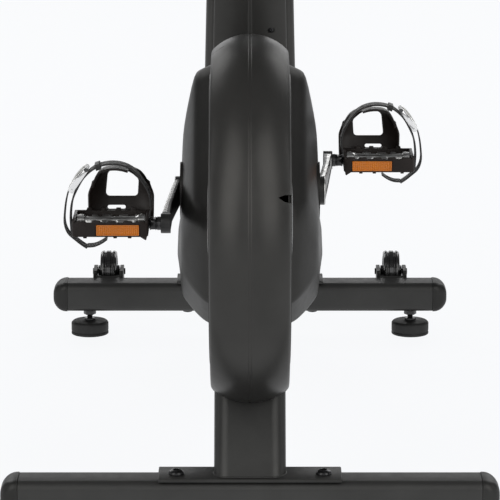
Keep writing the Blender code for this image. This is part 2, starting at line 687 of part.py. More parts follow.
def toe_clip(name, side):
    """Moulded strap guide: up from the cage's front wall and back over the toe, with a window in it."""
    rows, columns = len(CLIP_SPINE), 8
    mesh = bpy.data.meshes.new(name)
    shape = bmesh.new()
    grid = [[shape.verts.new(clip_point(side, r / (rows - 1), 2 * c / columns - 1))
             for c in range(columns + 1)] for r in range(rows)]
    for r in range(rows - 1):
        for c in range(columns):
            window = r in (2, 3) and 2 <= c <= 5
            if not window:
                shape.faces.new((grid[r][c], grid[r][c + 1], grid[r + 1][c + 1], grid[r + 1][c]))
    bmesh.ops.recalc_face_normals(shape, faces=shape.faces)
    shape.to_mesh(mesh)
    shape.free()
    obj = place(name, mesh, "cage_plastic")
    shell = obj.modifiers.new("wall", 'SOLIDIFY')
    shell.thickness = 0.0028
    shell.offset = 0.0
    smooth(obj)
    return obj


def toe_strap(name, side):
    """Webbing arch from one end of the cage over the toe clip to the other end."""
    origin, out, forward = pedal_frame(side)
    path = smooth_path([Vector(spot) for spot in STRAP_ROUTE], 2)
    half_wide, half_thick = 0.0095, 0.0012
    rings = []
    for i, spot in enumerate(path):
        before, after = path[max(i - 1, 0)], path[min(i + 1, len(path) - 1)]
        along = (after - before).normalized()
        normal = Vector((-along.y, along.x))
        ring = []
        for v, w in ((-half_wide, -1), (half_wide, -1), (half_wide, 1), (-half_wide, 1)):
            flat = spot + normal * half_thick * w
            ring.append(origin + out * flat.x + forward * (v - 0.001) + Vector((0, 0, flat.y)))
        rings.append(ring)
    return loft(name, rings, "strap_web")


# ---- casings ------------------------------------------------------------------------------------------
def housing_outline():
    """Side outline of the casing: the wheel's arc, the seat tower and the body round the crank."""
    front_top = SEAT_FOOT + SEAT_FWD * 0.050
    rear_top = SEAT_FOOT - SEAT_FWD * 0.050
    arc_from, arc_to = math.radians(35), math.radians(305)
    first = fillet([(0.285, 0.105, 0.030), (0.298, 0.290, 0.05), (*DECK_FRONT, 0.024),
                    (*DECK_REAR, 0.030), (front_top.y, front_top.z, 0.012),
                    (rear_top.y, rear_top.z, 0.012), (-0.066, 0.452, 0.030),
                    (WHEEL.y + WHEEL_R * math.cos(arc_from), WHEEL.z + WHEEL_R * math.sin(arc_from), 0),
                    (WHEEL.y + WHEEL_R * math.cos(arc_to), WHEEL.z + WHEEL_R * math.sin(arc_to), 0),
                    (-0.128, 0.150, 0.030), (0.000, 0.105, 0.060)], 3)
    split = next(i for i, point in enumerate(first)
                 if abs((point - Vector((WHEEL.y, WHEEL.z))).length - WHEEL_R) < 1e-6)
    steps = 24
    arc = []
    for k in range(1, steps):
        turn = arc_from + (arc_to - arc_from) * k / steps
        arc.append(Vector((WHEEL.y + WHEEL_R * math.cos(turn), WHEEL.z + WHEEL_R * math.sin(turn))))
    return first[:split + 1] + arc + first[split + 1:]


def crown_weights(outline):
    """1 along the wheel's tread, less along the rest, blended over a few points."""
    middle = Vector((WHEEL.y, WHEEL.z))
    weights = [1.0 if (point - middle).length < WHEEL_R + 0.002 else 0.35 for point in outline]
    for _ in range(4):
        weights = [(weights[i - 1] + 2 * weights[i] + weights[(i + 1) % len(weights)]) / 4
                   for i in range(len(weights))]
    return weights


def tower_taper(z):
    return 1.0 - 0.55 * max(0.0, z - 0.50)


def housing_rings(side, levels, wall):
    outline = housing_outline()
    weights = crown_weights(outline)
    rings = []
    for x, chamfer in levels:
        drop = CROWN_R - math.sqrt(CROWN_R ** 2 - max(x, 0.0) ** 2)
        amounts = [wall + chamfer + drop * weight for weight in weights]
        rings.append([Vector((side * x * tower_taper(z), y, z)) for y, z in inset(outline, amounts)])
    return rings


def leg_cutter(name, tube_y, top, reach):
    """Way through the casing for a leg, a little larger than the leg."""
    _, top, run, across = leg_run(tube_y, top)
    oval = rounded_section(LEG_HALF_X + 0.0006, LEG_HALF_D + 0.0015, LEG_HALF_D, 5)
    rings = [section_ring(oval, top - run * reach, (1, 0, 0), across),
             section_ring(oval, top + run * 0.003, (1, 0, 0), across)]
    return loft(name, rings)


def housing_cutters():
    """Openings that both casing halves share."""
    post = loft("post_way", [section_ring(rounded_section(0.0214, 0.0344, 0.004), SEAT_FOOT + SEAT_UP * s,
                                          (1, 0, 0), SEAT_FWD) for s in (-0.05, 0.05)])
    mast = loft("mast_way", [section_ring(rounded_section(0.0292, 0.0212, 0.004), MAST_FOOT + MAST_UP * s,
                                          (1, 0, 0), MAST_FWD) for s in (-0.08, 0.02)])
    spindle = rod("spindle_way", CRANK - Vector((0.06, 0, 0)), CRANK + Vector((0.06, 0, 0)), 0.0235)
    knob = SEAT_FOOT - SEAT_UP * PIN_DOWN
    pin = rod("pin_way", knob, knob + SEAT_FWD * 0.08, 0.0075, sides=16)
    dial = rod("dial_way", DIAL - Vector((0, 0, 0.05)), DIAL + Vector((0, 0, 0.03)), 0.0056, sides=16)
    return [post, mast, spindle, pin, dial, leg_cutter("rear_leg_way", REAR_Y, REAR_LEG_TOP, 0.055),
            leg_cutter("front_leg_way", FRONT_Y, FRONT_LEG_TOP, 0.09)]


def housing(name, side, cutters):
    outer = [(0.0002, 0), (0.016, 0), (0.030, 0), (0.0425, 0), (HOUSING_HALF, 0.0015)]
    inner_half = HOUSING_HALF - HOUSING_WALL
    inner = [(-0.010, 0), (0.016, 0), (0.030, 0), (inner_half, 0)]
    shell = loft(name, housing_rings(side, outer, 0.0), "casing_plastic")
    hollow = loft(f"{name}_hollow", housing_rings(side, inner, HOUSING_WALL))
    return cut(shell, hollow, *cutters)


def cover_outline(low_y, high_y, low_z, high_z, front_z, corner):
    """Rounded outline: a straight rear end over a slanting lower edge, its top sloping to the front."""
    crease_z = low_z + min(0.050, (high_z - low_z) * 0.3)
    return fillet([(high_y, low_z, corner), (high_y, front_z, min(corner, 0.030)),
                   (low_y * 0.55 + high_y * 0.45, high_z, corner), (low_y, (low_z + high_z) / 2, corner),
                   (low_y * 0.96 + high_y * 0.04, crease_z, max(0.003, corner * 0.3)),
                   (low_y * 0.75 + high_y * 0.25, low_z, corner)], 3)


def crank_cover(name, side):
    """Domed side cover, with a shallow round dish for the crank's hub."""
    wall = 0.0025
    rings, inner = [], []
    for k, (x, *shape) in enumerate(COVER_LEVELS):
        outline = cover_outline(*shape)
        rings.append([Vector((side * x, y, z)) for y, z in outline])
        back = x - wall * 0.8 if k else x - 0.01
        held = inset(outline, [wall] * len(outline))
        inner.append([Vector((side * back, y, z)) for y, z in held])
    shell = loft(name, rings, "casing_plastic")
    cut(shell, loft(f"{name}_hollow", inner))
    dish = rod(f"{name}_dish", CRANK + Vector((side * 0.0760, 0, 0)),
               CRANK + Vector((side * 0.0790, 0, 0)), 0.0360, sides=24)
    way = rod(f"{name}_way", CRANK + Vector((side * 0.0790, 0, 0)), CRANK + Vector((side * 0.12, 0, 0)),
              0.0340, sides=24)
    ring = rod(f"{name}_ring", CRANK + Vector((side * 0.0760, 0, 0)),
               CRANK + Vector((side * 0.0872, 0, 0)), 0.0360, sides=24)
    bore = rod(f"{name}_bore", CRANK + Vector((side * 0.05, 0, 0)), CRANK + Vector((side * 0.12, 0, 0)),
               0.0125)
    join(shell, dish, ring)
    return cut(shell, way, bore)


# ---- seat ---------------------------------------------------------------------------------------------
def seat_post():
    """Oval post with a guide groove down its front, cut level under the saddle rail."""
    section = rounded_section(POST_HALF_X, POST_HALF_D, 0.012, 4)
    bottom = section_ring(section, SEAT_FOOT + SEAT_UP * POST_BOTTOM, (1, 0, 0), SEAT_FWD)
    top = cut_ring(section, SEAT_FOOT, SEAT_FWD, SEAT_UP, Vector((0, 0, POST_TOP_Z)), Vector((0, 0, 1)))
    post = loft("seat_post", [bottom, top], "bright_metal")
    middle = SEAT_FOOT + SEAT_FWD * POST_HALF_D
    groove = [Vector((a, 0, 0)) + SEAT_FWD * b for a, b in
              ((0.0050, -0.0040), (0.0050, 0.01), (-0.0050, 0.01), (-0.0050, -0.0040))]
    rings = [[middle + SEAT_UP * s + corner for corner in groove] for s in (-0.25, 0.035)]
    return cut(post, loft("seat_groove", rings))


def seat_sleeve():
    """Plastic collar that lines the tower's mouth."""
    rings = []
    low, high = 0.0012, 0.0120
    for half_x, half_d, ends in ((0.0300, 0.0440, (low, high)), (0.0171, 0.0301, (high, low))):
        corner = 0.016 if half_x > 0.02 else 0.012
        for reach in ends:
            rings.append(section_ring(rounded_section(half_x, half_d, corner, 4),
                                      SEAT_FOOT + SEAT_UP * reach, (1, 0, 0), SEAT_FWD))
    return loft("seat_sleeve", rings, "trim_plastic", ring_body=True)


def seat_pin():
    """Spring pin with its pull knob, its tip in the post's guide groove."""
    base = SEAT_FOOT - SEAT_UP * PIN_DOWN
    profile = [(0.0, 0.0900), (0.0130, 0.0900), (0.0190, 0.0860), (0.0190, 0.0700), (0.0120, 0.0620),
               (0.0120, 0.0545), (0.0065, 0.0545), (0.0065, 0.0360), (0.0038, 0.0345), (0.0038, 0.0270),
               (0.0, 0.0270)]
    return turned("seat_pin", profile, base, SEAT_FWD, "trim_plastic", steps=16)


def saddle_half_width(share):
    """Half width along the saddle: 0 is the rear edge, 1 the nose."""
    wide = 0.098 * math.sqrt(max(0.0, 1 - (max(0.0, 0.30 - share) / 0.30) ** 2.4))
    narrow = 0.026 * math.sqrt(max(0.0, 1 - (max(0.0, share - 0.93) / 0.07) ** 2))
    blend = 1 / (1 + math.exp(-(share - 0.47) * 13))
    return max(0.006, wide * (1 - blend) + narrow * blend)


def saddle_outline(grow, count=12):
    shares = [0.5 - 0.5 * math.cos(math.pi * k / count) for k in range(count + 1)]
    length = SADDLE_NOSE - SADDLE_REAR
    right = [Vector((max(0.004, saddle_half_width(s) + grow), SADDLE_REAR + length * s)) for s in shares]
    left = [Vector((-point.x, point.y)) for point in right[::-1]]
    return right + left


def saddle_slab(name, levels, finish):
    """levels are (z, grow, nose drop): outlines of the saddle stacked upwards."""
    rings = []
    for z, grow, drop in levels:
        ring = []
        for x, y in saddle_outline(grow):
            share = (y - SADDLE_REAR) / (SADDLE_NOSE - SADDLE_REAR)
            pinch = 1 + grow * 2
            lift = drop * (0.5 - share)
            ring.append(Vector((x, SADDLE_MID + (y - SADDLE_MID) * pinch, z + lift)))
        rings.append(ring)
    return loft(name, rings, finish)


# ---- handlebar and console ----------------------------------------------------------------------------
def handlebar():
    right = smooth_path([BAR + spot for spot in HORN], 3)
    right.append(BAR + HORN[-1] + GRIP_RUN * (GRIP_LENGTH - GRIP_END - 0.0025))
    left = [Vector((-p.x, p.y, p.z)) for p in right[::-1]]
    return tube_along("handlebar", left + right, BAR_R, "frame_paint")


def grip(name, side):
    margin = 0.004
    start = BAR + Vector((HORN[-1].x * side, HORN[-1].y, HORN[-1].z)) + GRIP_RUN * margin
    length, bore, out = GRIP_LENGTH - margin, BAR_R + 0.0006, GRIP_R
    profile = [(0.0, length), (out - 0.006, length), (out - 0.001, length - 0.004), (out, length - 0.010),
               (out, 0.006), (out - 0.002, 0.0), (bore, 0.0), (bore, length - GRIP_END),
               (0.0, length - GRIP_END)]
    return turned(name, profile, start, GRIP_RUN, "foam_black", steps=16)


def mast_cover():
    """Tapering plastic sleeve round the mast, cut off where it stands on the casing's sloping top."""
    shells = []
    for wall in (0.0, 0.003):
        low = rounded_section(0.0585 - wall, 0.0400 - wall, 0.022 - wall, 3)
        high = rounded_section(0.0460 - wall, 0.0320 - wall, 0.022 - wall, 3)
        shells.append((cut_ring(low, MAST_FOOT, MAST_FWD, MAST_UP, DECK_AT + DECK_UP * GAP * 2, DECK_UP),
                       section_ring(high, MAST_FOOT + MAST_UP * MAST_COVER_TOP, (1, 0, 0), MAST_FWD)))
    outer, inner = shells
    return loft("mast_cover", [outer[0], outer[1], inner[1], inner[0]], "casing_plastic", ring_body=True)


def handlebar_clamp():
    """Block on the mast's top that the bar passes through, with a neck for the console."""
    low = MAST_FOOT + MAST_UP * CLAMP_LOW
    rings = []
    for reach, half_x, half_d in ((0.0, 0.030, 0.022), (0.012, 0.032, 0.024), (0.036, 0.032, 0.024),
                                  (0.044, 0.026, 0.018), (0.100, 0.020, 0.012)):
        rings.append(section_ring(rounded_section(half_x, half_d, 0.006), low + MAST_UP * reach,
                                  (1, 0, 0), MAST_FWD))
    clamp = loft("handlebar_clamp", rings, "trim_plastic")
    above = loft("console_way", [section_ring(rounded_section(0.1, 0.1, 0.01), CONSOLE_AT + CONSOLE_FACE * d,
                                              (1, 0, 0), CONSOLE_UP) for d in (CONSOLE_BACK - GAP, 0.1)])
    return cut(clamp, above, rod("bar_way", BAR - Vector((0.1, 0, 0)), BAR + Vector((0.1, 0, 0)),
                                 BAR_R + GAP))


def console():
    rings = []
    for depth, half_x, half_u, corner in ((CONSOLE_BACK, 0.060, 0.040, 0.014), (-0.010, 0.082, 0.056, 0.018),
                                          (0.008, 0.085, 0.058, 0.020), (0.014, 0.080, 0.053, 0.018)):
        rings.append(section_ring(rounded_section(half_x, half_u, corner, 4),
                                  CONSOLE_AT + CONSOLE_FACE * depth, (1, 0, 0), CONSOLE_UP))
    return loft("console", rings, "console_gloss")


def build_base():
    stabiliser("front_stabiliser", FRONT_Y, FRONT_HALF)
    stabiliser("rear_stabiliser", REAR_Y, REAR_HALF)
    leg("front_leg", FRONT_Y, FRONT_LEG_TOP)
    leg("rear_leg", REAR_Y, REAR_LEG_TOP)
    bolt_z = TUBE_HIGH + GAP + PLATE_THICK + GAP
    bolt = [(0.0, 0.0055), (0.0040, 0.0052), (0.0075, 0.0036), (0.0088, 0.0010), (0.0088, 0.0), (0.0, 0.0)]
    for side, hand in SIDES:
        end_cap(f"front_cap_{hand}", FRONT_Y, FRONT_HALF, side)
        end_cap(f"rear_cap_{hand}", REAR_Y, REAR_HALF, side)
        for end, y in (("front", FRONT_Y), ("rear", REAR_Y)):
            x = side * FOOT_X
            foot = levelling_foot(f"{end}_foot_{hand}", x, y)
            hang_on(f"{end}_foot_{hand}_axis", (x, y, TUBE_LOW), [foot])
        transport_bracket(f"transport_bracket_{hand}", side)
        wheel = transport_wheel(f"transport_wheel_{hand}", side)
        hang_on(f"transport_wheel_{hand}_axis", (side * CASTER_X, CASTER_Y, CASTER_Z), [wheel])
        turned(f"rear_bolt_{hand}", bolt, (side * BOLT_X, REAR_Y - 0.004, bolt_z), (0, 0, 1), "bolt_black",
               steps=16)
        frame_plate(f"frame_plate_{hand}", side)


def build_drive():
    axle_half = Vector((0.0405, 0, 0))
    rod("flywheel_axle", WHEEL - axle_half, WHEEL + axle_half, 0.006, "bright_metal")
    bore, shell, left_end, right_end = SPINDLE_R + 0.0005, 0.0215, -0.0400, 0.004
    turned("bottom_bracket", [(bore, right_end), (shell, right_end), (shell, left_end), (bore, left_end)],
           CRANK, (1, 0, 0), "bright_metal", ring=True)
    hang_on("flywheel_axis", WHEEL, [flywheel()])
    drive_belt()
    pivot = arc_point(SHOE_R, SHOE_PIVOT_TURN)
    hang_on("brake_axis", (0.0, pivot.x, pivot.y), [brake_shoe()])

    spindle_half = Vector((0.0880, 0, 0))
    spindle = rod("crank_spindle", CRANK - spindle_half, CRANK + spindle_half, SPINDLE_R, "bright_metal")
    crank_pieces = [crank_pulley(), spindle]
    for side, hand in SIDES:
        crank_pieces += [crank_arm(f"crank_arm_{hand}", side), pedal_axle(f"pedal_axle_{hand}", side)]
    crank_pivot = hang_on("crank_axis", CRANK, crank_pieces)
    for side, hand in SIDES:
        pieces = [pedal_body(f"pedal_body_{hand}", side), pedal_cage(f"pedal_cage_{hand}", side),
                  reflector(f"reflector_{hand}", side), toe_clip(f"toe_clip_{hand}", side),
                  toe_strap(f"toe_strap_{hand}", side)]
        pivot = hang_on(f"pedal_{hand}_axis", crank_end(side), pieces)
        pivot.parent = crank_pivot
        pivot.matrix_parent_inverse = crank_pivot.matrix_world.inverted()


def build_casing():
    cutters = housing_cutters()
    for side, hand in SIDES:
        housing(f"housing_{hand}", side, cutters)
        crank_cover(f"crank_cover_{hand}", side)
    mast_cover()


def build_seat():
    tube = hollow_section("seat_tube", 0.0208, 0.0338, 0.0038, 0.008, SEAT_FOOT, SEAT_UP, SEAT_FWD,
                          POST_BOTTOM - 0.010, 0.0006, "frame_paint")
    base = SEAT_FOOT - SEAT_UP * PIN_DOWN
    cut(tube, rod("pin_hole", base, base + SEAT_FWD * 0.08, 0.0071, sides=16))
    seat_sleeve()
    hang_on("seat_pin_axis", base, [seat_pin()])

    rail = bevel(box("saddle_rail", (-RAIL_HALF, RAIL_REAR, RAIL_Z),
                     (RAIL_HALF, RAIL_FRONT, RAIL_Z + RAIL_TALL), "bright_metal"), 0.002)
    base_tall = 0.014
    base_plate = saddle_slab("saddle_base", [(SADDLE_LOW, -0.020, 0.0), (SADDLE_LOW + 0.006, -0.004, 0.004),
                                             (SADDLE_LOW + base_tall, 0.0, 0.008)], "trim_plastic")
    slider = box("saddle_slider", (-0.024, -0.155, RAIL_Z + 0.001), (0.024, -0.088, SADDLE_LOW + 0.003))
    slider_way = box("slider_way", (-RAIL_HALF - GAP, -0.3, 0.5),
                     (RAIL_HALF + GAP, 0.1, RAIL_Z + RAIL_TALL + GAP))
    join(base_plate, slider)
    cut(base_plate, slider_way)
    lift = SADDLE_LOW + base_tall + GAP
    cushion = saddle_slab("saddle_cushion", [(lift, 0.001, 0.008), (lift + 0.014, 0.004, 0.010),
                                             (lift + 0.030, 0.000, 0.014), (lift + 0.042, -0.012, 0.018),
                                             (lift + 0.048, -0.022, 0.020)], "saddle_vinyl")
    saddle_pivot = hang_on("saddle_axis", (0.0, -0.12, RAIL_Z), [base_plate, cushion])
    post_pivot = hang_on("seat_post_axis", SEAT_FOOT, [seat_post(), rail])
    saddle_pivot.parent = post_pivot
    saddle_pivot.matrix_parent_inverse = post_pivot.matrix_world.inverted()


def build_front():
    hollow_section("mast_tube", 0.0280, 0.0200, 0.003, 0.006, MAST_FOOT, MAST_UP, MAST_FWD,
                   MAST_BOTTOM, MAST_TOP, "frame_paint")
    handlebar_clamp()
    hang_on("handlebar_axis", BAR, [handlebar(), grip("grip_left", -1), grip("grip_right", 1)])
    console()
    dial = turned("tension_knob", [(0.0, 0.032), (0.0150, 0.031), (0.0185, 0.027), (DIAL_R, 0.004),
                                   (DIAL_R, 0.0), (0.0050, 0.0), (0.0050, -0.030), (0.0, -0.030)],
                  DIAL, (0, 0, 1), "trim_plastic", steps=16)
    hang_on("tension_axis", DIAL, [dial])


build_base()
build_drive()
build_casing()
build_seat()
build_front()
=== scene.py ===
import math

import bmesh
import bpy
from mathutils import Matrix, Vector


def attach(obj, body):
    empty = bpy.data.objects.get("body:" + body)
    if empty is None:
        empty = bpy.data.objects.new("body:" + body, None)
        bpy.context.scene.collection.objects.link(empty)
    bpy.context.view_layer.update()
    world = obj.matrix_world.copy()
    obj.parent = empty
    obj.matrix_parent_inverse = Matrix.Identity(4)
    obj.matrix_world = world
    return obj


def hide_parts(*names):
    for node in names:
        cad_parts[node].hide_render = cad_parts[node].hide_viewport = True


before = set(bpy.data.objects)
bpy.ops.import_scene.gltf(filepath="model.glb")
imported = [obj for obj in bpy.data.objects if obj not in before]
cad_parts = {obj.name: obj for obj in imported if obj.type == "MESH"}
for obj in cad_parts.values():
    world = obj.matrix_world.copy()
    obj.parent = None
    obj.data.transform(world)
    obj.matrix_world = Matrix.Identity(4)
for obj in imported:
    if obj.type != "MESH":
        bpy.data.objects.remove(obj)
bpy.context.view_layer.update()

# ---- driving dimensions, the same as the frame's ------------------------------------------------------
GAP = 0.0003
FRONT_Y, REAR_Y = 0.473, -0.463
TUBE_DEPTH, TUBE_LOW, TUBE_HIGH = 0.05, 0.036, 0.076
TUBE_MID = (TUBE_LOW + TUBE_HIGH) / 2
TUBE_CORNER, TUBE_WALL = 0.01, 0.0025
FRONT_HALF, REAR_HALF, CAP_LENGTH = 0.275, 0.2775, 0.02
FOOT_X, FOOT_R = 0.225, 0.026
PLATE_HALF, PLATE_HALF_D, PLATE_THICK = 0.102, 0.0248, 0.004
BOLT_X, NUT_X = 0.082, 0.0875
LEG_HALF_X, LEG_HALF_D = 0.04, 0.0175
REAR_LEG_TOP, FRONT_LEG_TOP = (-0.405, 0.17), (0.262, 0.19)      # (y, z)
CASTER_X, CASTER_Y, CASTER_Z, CASTER_R = 0.2, FRONT_Y + 0.06, 0.075, 0.0295

CRANK = Vector((0.0, 0.043, 0.295))
CRANK_LENGTH, CRANK_TILT = 0.165, math.radians(2.0)
ARM_HUB_OUT, ARM_END_OUT = 0.0935, 0.107
ARM_HUB_T, ARM_MID_T, ARM_END_T = 0.013, 0.008, 0.0115
HUB_R, BOSS_R = 0.018, 0.012
PEDAL_X, PEDAL_HALF_U, PEDAL_HALF_V = 0.167, 0.0455, 0.0335

WHEEL, WHEEL_R = Vector((0.0, -0.352, 0.3445)), 0.209
HOUSING_HALF, HOUSING_WALL, CROWN_R = 0.044, 0.003, 0.06
COVER_LEVELS = [                  # x, rear y, front y, low z, rear top z, front top z, corner
    (0.0443, -0.15, 0.284, 0.14, 0.458, 0.396, 0.045),
    (0.058, -0.135, 0.281, 0.145, 0.451, 0.39, 0.045),
    (0.07, -0.108, 0.275, 0.152, 0.443, 0.383, 0.045),
    (0.084, -0.068, 0.266, 0.163, 0.37, 0.335, 0.04),
    (0.0865, -0.03, 0.258, 0.168, 0.325, 0.298, 0.035),
    (0.089, 0.04, 0.252, 0.175, 0.238, 0.232, 0.012),
    (0.093, 0.12, 0.246, 0.183, 0.216, 0.211, 0.005),
]

SEAT_FOOT = Vector((0.0, -0.0763, 0.625))
SEAT_UP = Vector((0.0, -0.33, 0.944)).normalized()
SEAT_FWD = Vector((0.0, 0.944, 0.33)).normalized()
POST_HALF_X, POST_HALF_D, POST_BOTTOM, POST_TOP_Z = 0.0165, 0.0295, -0.205, 0.7475
PIN_DOWN = 0.04                  # spring pin's axis below the tower's top
RAIL_Z, RAIL_TALL = POST_TOP_Z + GAP, 0.018
RAIL_REAR, RAIL_FRONT, RAIL_HALF = -0.215, -0.03, 0.014
SADDLE_REAR, SADDLE_NOSE, SADDLE_MID = -0.262, 0.018, -0.155
SADDLE_LOW = RAIL_Z + RAIL_TALL + GAP + 0.01
CUSHION_LOW = SADDLE_LOW + 0.014 + GAP

MAST_FOOT = Vector((0.0, 0.235, 0.44))
MAST_UP = Vector((0.0, 0.1736, 0.9848)).normalized()
MAST_FWD = Vector((0.0, 0.9848, -0.1736)).normalized()
MAST_BOTTOM, MAST_COVER_TOP, MAST_TOP, CLAMP_LOW = -0.105, 0.56, 0.618, 0.6185
BAR_R, BAR_Z = 0.0125, 1.07
BAR = MAST_FOOT + MAST_UP * ((BAR_Z - MAST_FOOT.z) / MAST_UP.z)
HORN = [(0.06, 0.0, 0.0), (0.12, -0.002, 0.002), (0.175, -0.018, 0.01), (0.215, -0.052, 0.021),
        (0.236, -0.098, 0.032), (0.24, -0.135, 0.038)]
GRIP_FROM = Vector((0.24, -0.135, 0.038))
GRIP_RUN = Vector((0.0, -0.985, 0.174)).normalized()
GRIP_LENGTH, GRIP_R = 0.118, 0.017
CONSOLE_FACE = Vector((0.0, -0.643, 0.766)).normalized()
CONSOLE_UP = Vector((0.0, 0.766, 0.643)).normalized()
CONSOLE_AT = MAST_FOOT + MAST_UP * (CLAMP_LOW + 0.0755) + Vector((0.0, 0.01, 0.034))
CONSOLE_BACK, SCREEN_UP, BUTTONS_UP = -0.018, 0.013, -0.034
DECK_REAR, DECK_FRONT = (0.036, 0.468), (0.29, 0.4)             # (y, z) ends of the body's sloping top
DECK_AT = Vector((0.0, *DECK_FRONT))
DECK_RUN = (Vector((0.0, *DECK_REAR)) - DECK_AT).normalized()
DECK_UP = Vector((0.0, DECK_RUN.z, -DECK_RUN.y))
DIAL_Y, DIAL_R, DIAL_LIFT = 0.115, 0.0215, 0.0012
DIAL = DECK_AT + DECK_RUN * ((DIAL_Y - DIAL_R - DECK_AT.y) / DECK_RUN.y) + Vector((0.0, DIAL_R, DIAL_LIFT))

SIDES = ((-1, "left"), (1, "right"))
X, Y, Z = Vector((1, 0, 0)), Vector((0, 1, 0)), Vector((0, 0, 1))


# ---- materials ----------------------------------------------------------------------------------------
def node(tree, kind, **values):
    """A shader node. Values are its properties, or its inputs by name with underscores for spaces; an
    output socket as a value is linked."""
    made = tree.nodes.new("ShaderNode" + kind)
    for key, value in values.items():
        if hasattr(made, key):
            setattr(made, key, value)
            continue
        socket = made.inputs[key.replace("_", " ")]
        if isinstance(value, bpy.types.NodeSocket):
            tree.links.new(value, socket)
        else:
            socket.default_value = value
    return made


def spread(tree, source, low, high, start=0.35, stop=0.65):
    """Carries a noise value from start..stop to low..high."""
    return node(tree, "MapRange", Value=source, From_Min=start, From_Max=stop, To_Min=low,
                To_Max=high).outputs["Result"]


def tint(tree, share, first, second):
    """Mixes two colours, each a tuple or a socket."""
    mix = node(tree, "Mix", data_type='RGBA')
    colours = [socket for socket in mix.inputs if socket.type == 'RGBA']
    tree.links.new(share, mix.inputs[0])
    for socket, value in zip(colours, (first, second)):
        if isinstance(value, tuple):
            socket.default_value = (*value, 1.0)
        else:
            tree.links.new(value, socket)
    return next(socket for socket in mix.outputs if socket.type == 'RGBA')


def surface_pattern(tree, kind, scale, where):
    """The height pattern of a surface: grain, leather, pores, brushed lines, ribs or weave."""
    if kind == "weave":
        threads = node(tree, "UVMap", uv_map="threads").outputs["UV"]
        both = node(tree, "Math", operation='MAXIMUM')
        for direction, socket in zip(('X', 'Y'), both.inputs):
            wave = node(tree, "TexWave", bands_direction=direction, Vector=threads, Scale=scale,
                        Distortion=0.3)
            tree.links.new(wave.outputs["Fac"], socket)
        return both.outputs["Value"]
    if kind == "ribs":
        ribs = node(tree, "TexWave", bands_direction='X', Vector=where, Scale=scale, Distortion=0.0)
        return ribs.outputs["Fac"]
    if kind in ("leather", "pores"):
        feature = 'DISTANCE_TO_EDGE' if kind == "leather" else 'SMOOTH_F1'
        return node(tree, "TexVoronoi", feature=feature, Vector=where, Scale=scale).outputs["Distance"]
    stretch = (1.0, 0.04, 1.0) if kind == "brushed" else (1.0, 1.0, 1.0)
    where = node(tree, "Mapping", Vector=where, Scale=stretch).outputs["Vector"]
    return node(tree, "TexNoise", Vector=where, Scale=scale, Detail=3.0, Roughness=0.6).outputs["Fac"]


def look(name, colour, roughness, metallic=0.0, pattern="grain", scale=1500.0, depth=0.00005, vary=0.15,
         uneven=0.06, wear=0.0, **constants):
    """A procedural material: mottled colour, uneven roughness, a surface pattern and lighter worn edges.

    A colour given as one number is a grey.
    """
    colour = colour if isinstance(colour, tuple) else (colour,) * 3
    material = bpy.data.materials.new(name)
    material.use_nodes = True
    tree = material.node_tree
    shader = tree.nodes["Principled BSDF"]
    shader.inputs["Metallic"].default_value = metallic
    for key, value in constants.items():
        shader.inputs[key.replace("_", " ")].default_value = value
    where = node(tree, "TexCoord").outputs["Object"]
    patches = node(tree, "TexNoise", Vector=where, Scale=14.0, Detail=5.0, Roughness=0.55)
    smudges = node(tree, "TexNoise", Vector=where, Scale=85.0, Detail=4.0, Roughness=0.6)
    darker = tuple(part * (1 - vary) for part in colour)
    lighter = tuple(min(1.0, part * (1 + vary)) for part in colour)
    painted = tint(tree, spread(tree, patches.outputs["Fac"], 0.0, 1.0), darker, lighter)
    if wear:
        edges = node(tree, "NewGeometry").outputs["Pointiness"]
        rubbed = spread(tree, edges, 0.0, wear, 0.53, 0.6)
        painted = tint(tree, rubbed, painted, tuple(min(1.0, part * 2.5 + 0.06) for part in colour))
    rough = spread(tree, smudges.outputs["Fac"], roughness - uneven, roughness + uneven)
    height = surface_pattern(tree, pattern, scale, where)
    bump = node(tree, "Bump", Strength=1.0, Distance=depth, Height=height).outputs["Normal"]
    for socket, source in (("Base Color", painted), ("Roughness", rough), ("Normal", bump)):
        tree.links.new(source, shader.inputs[socket])
    return material


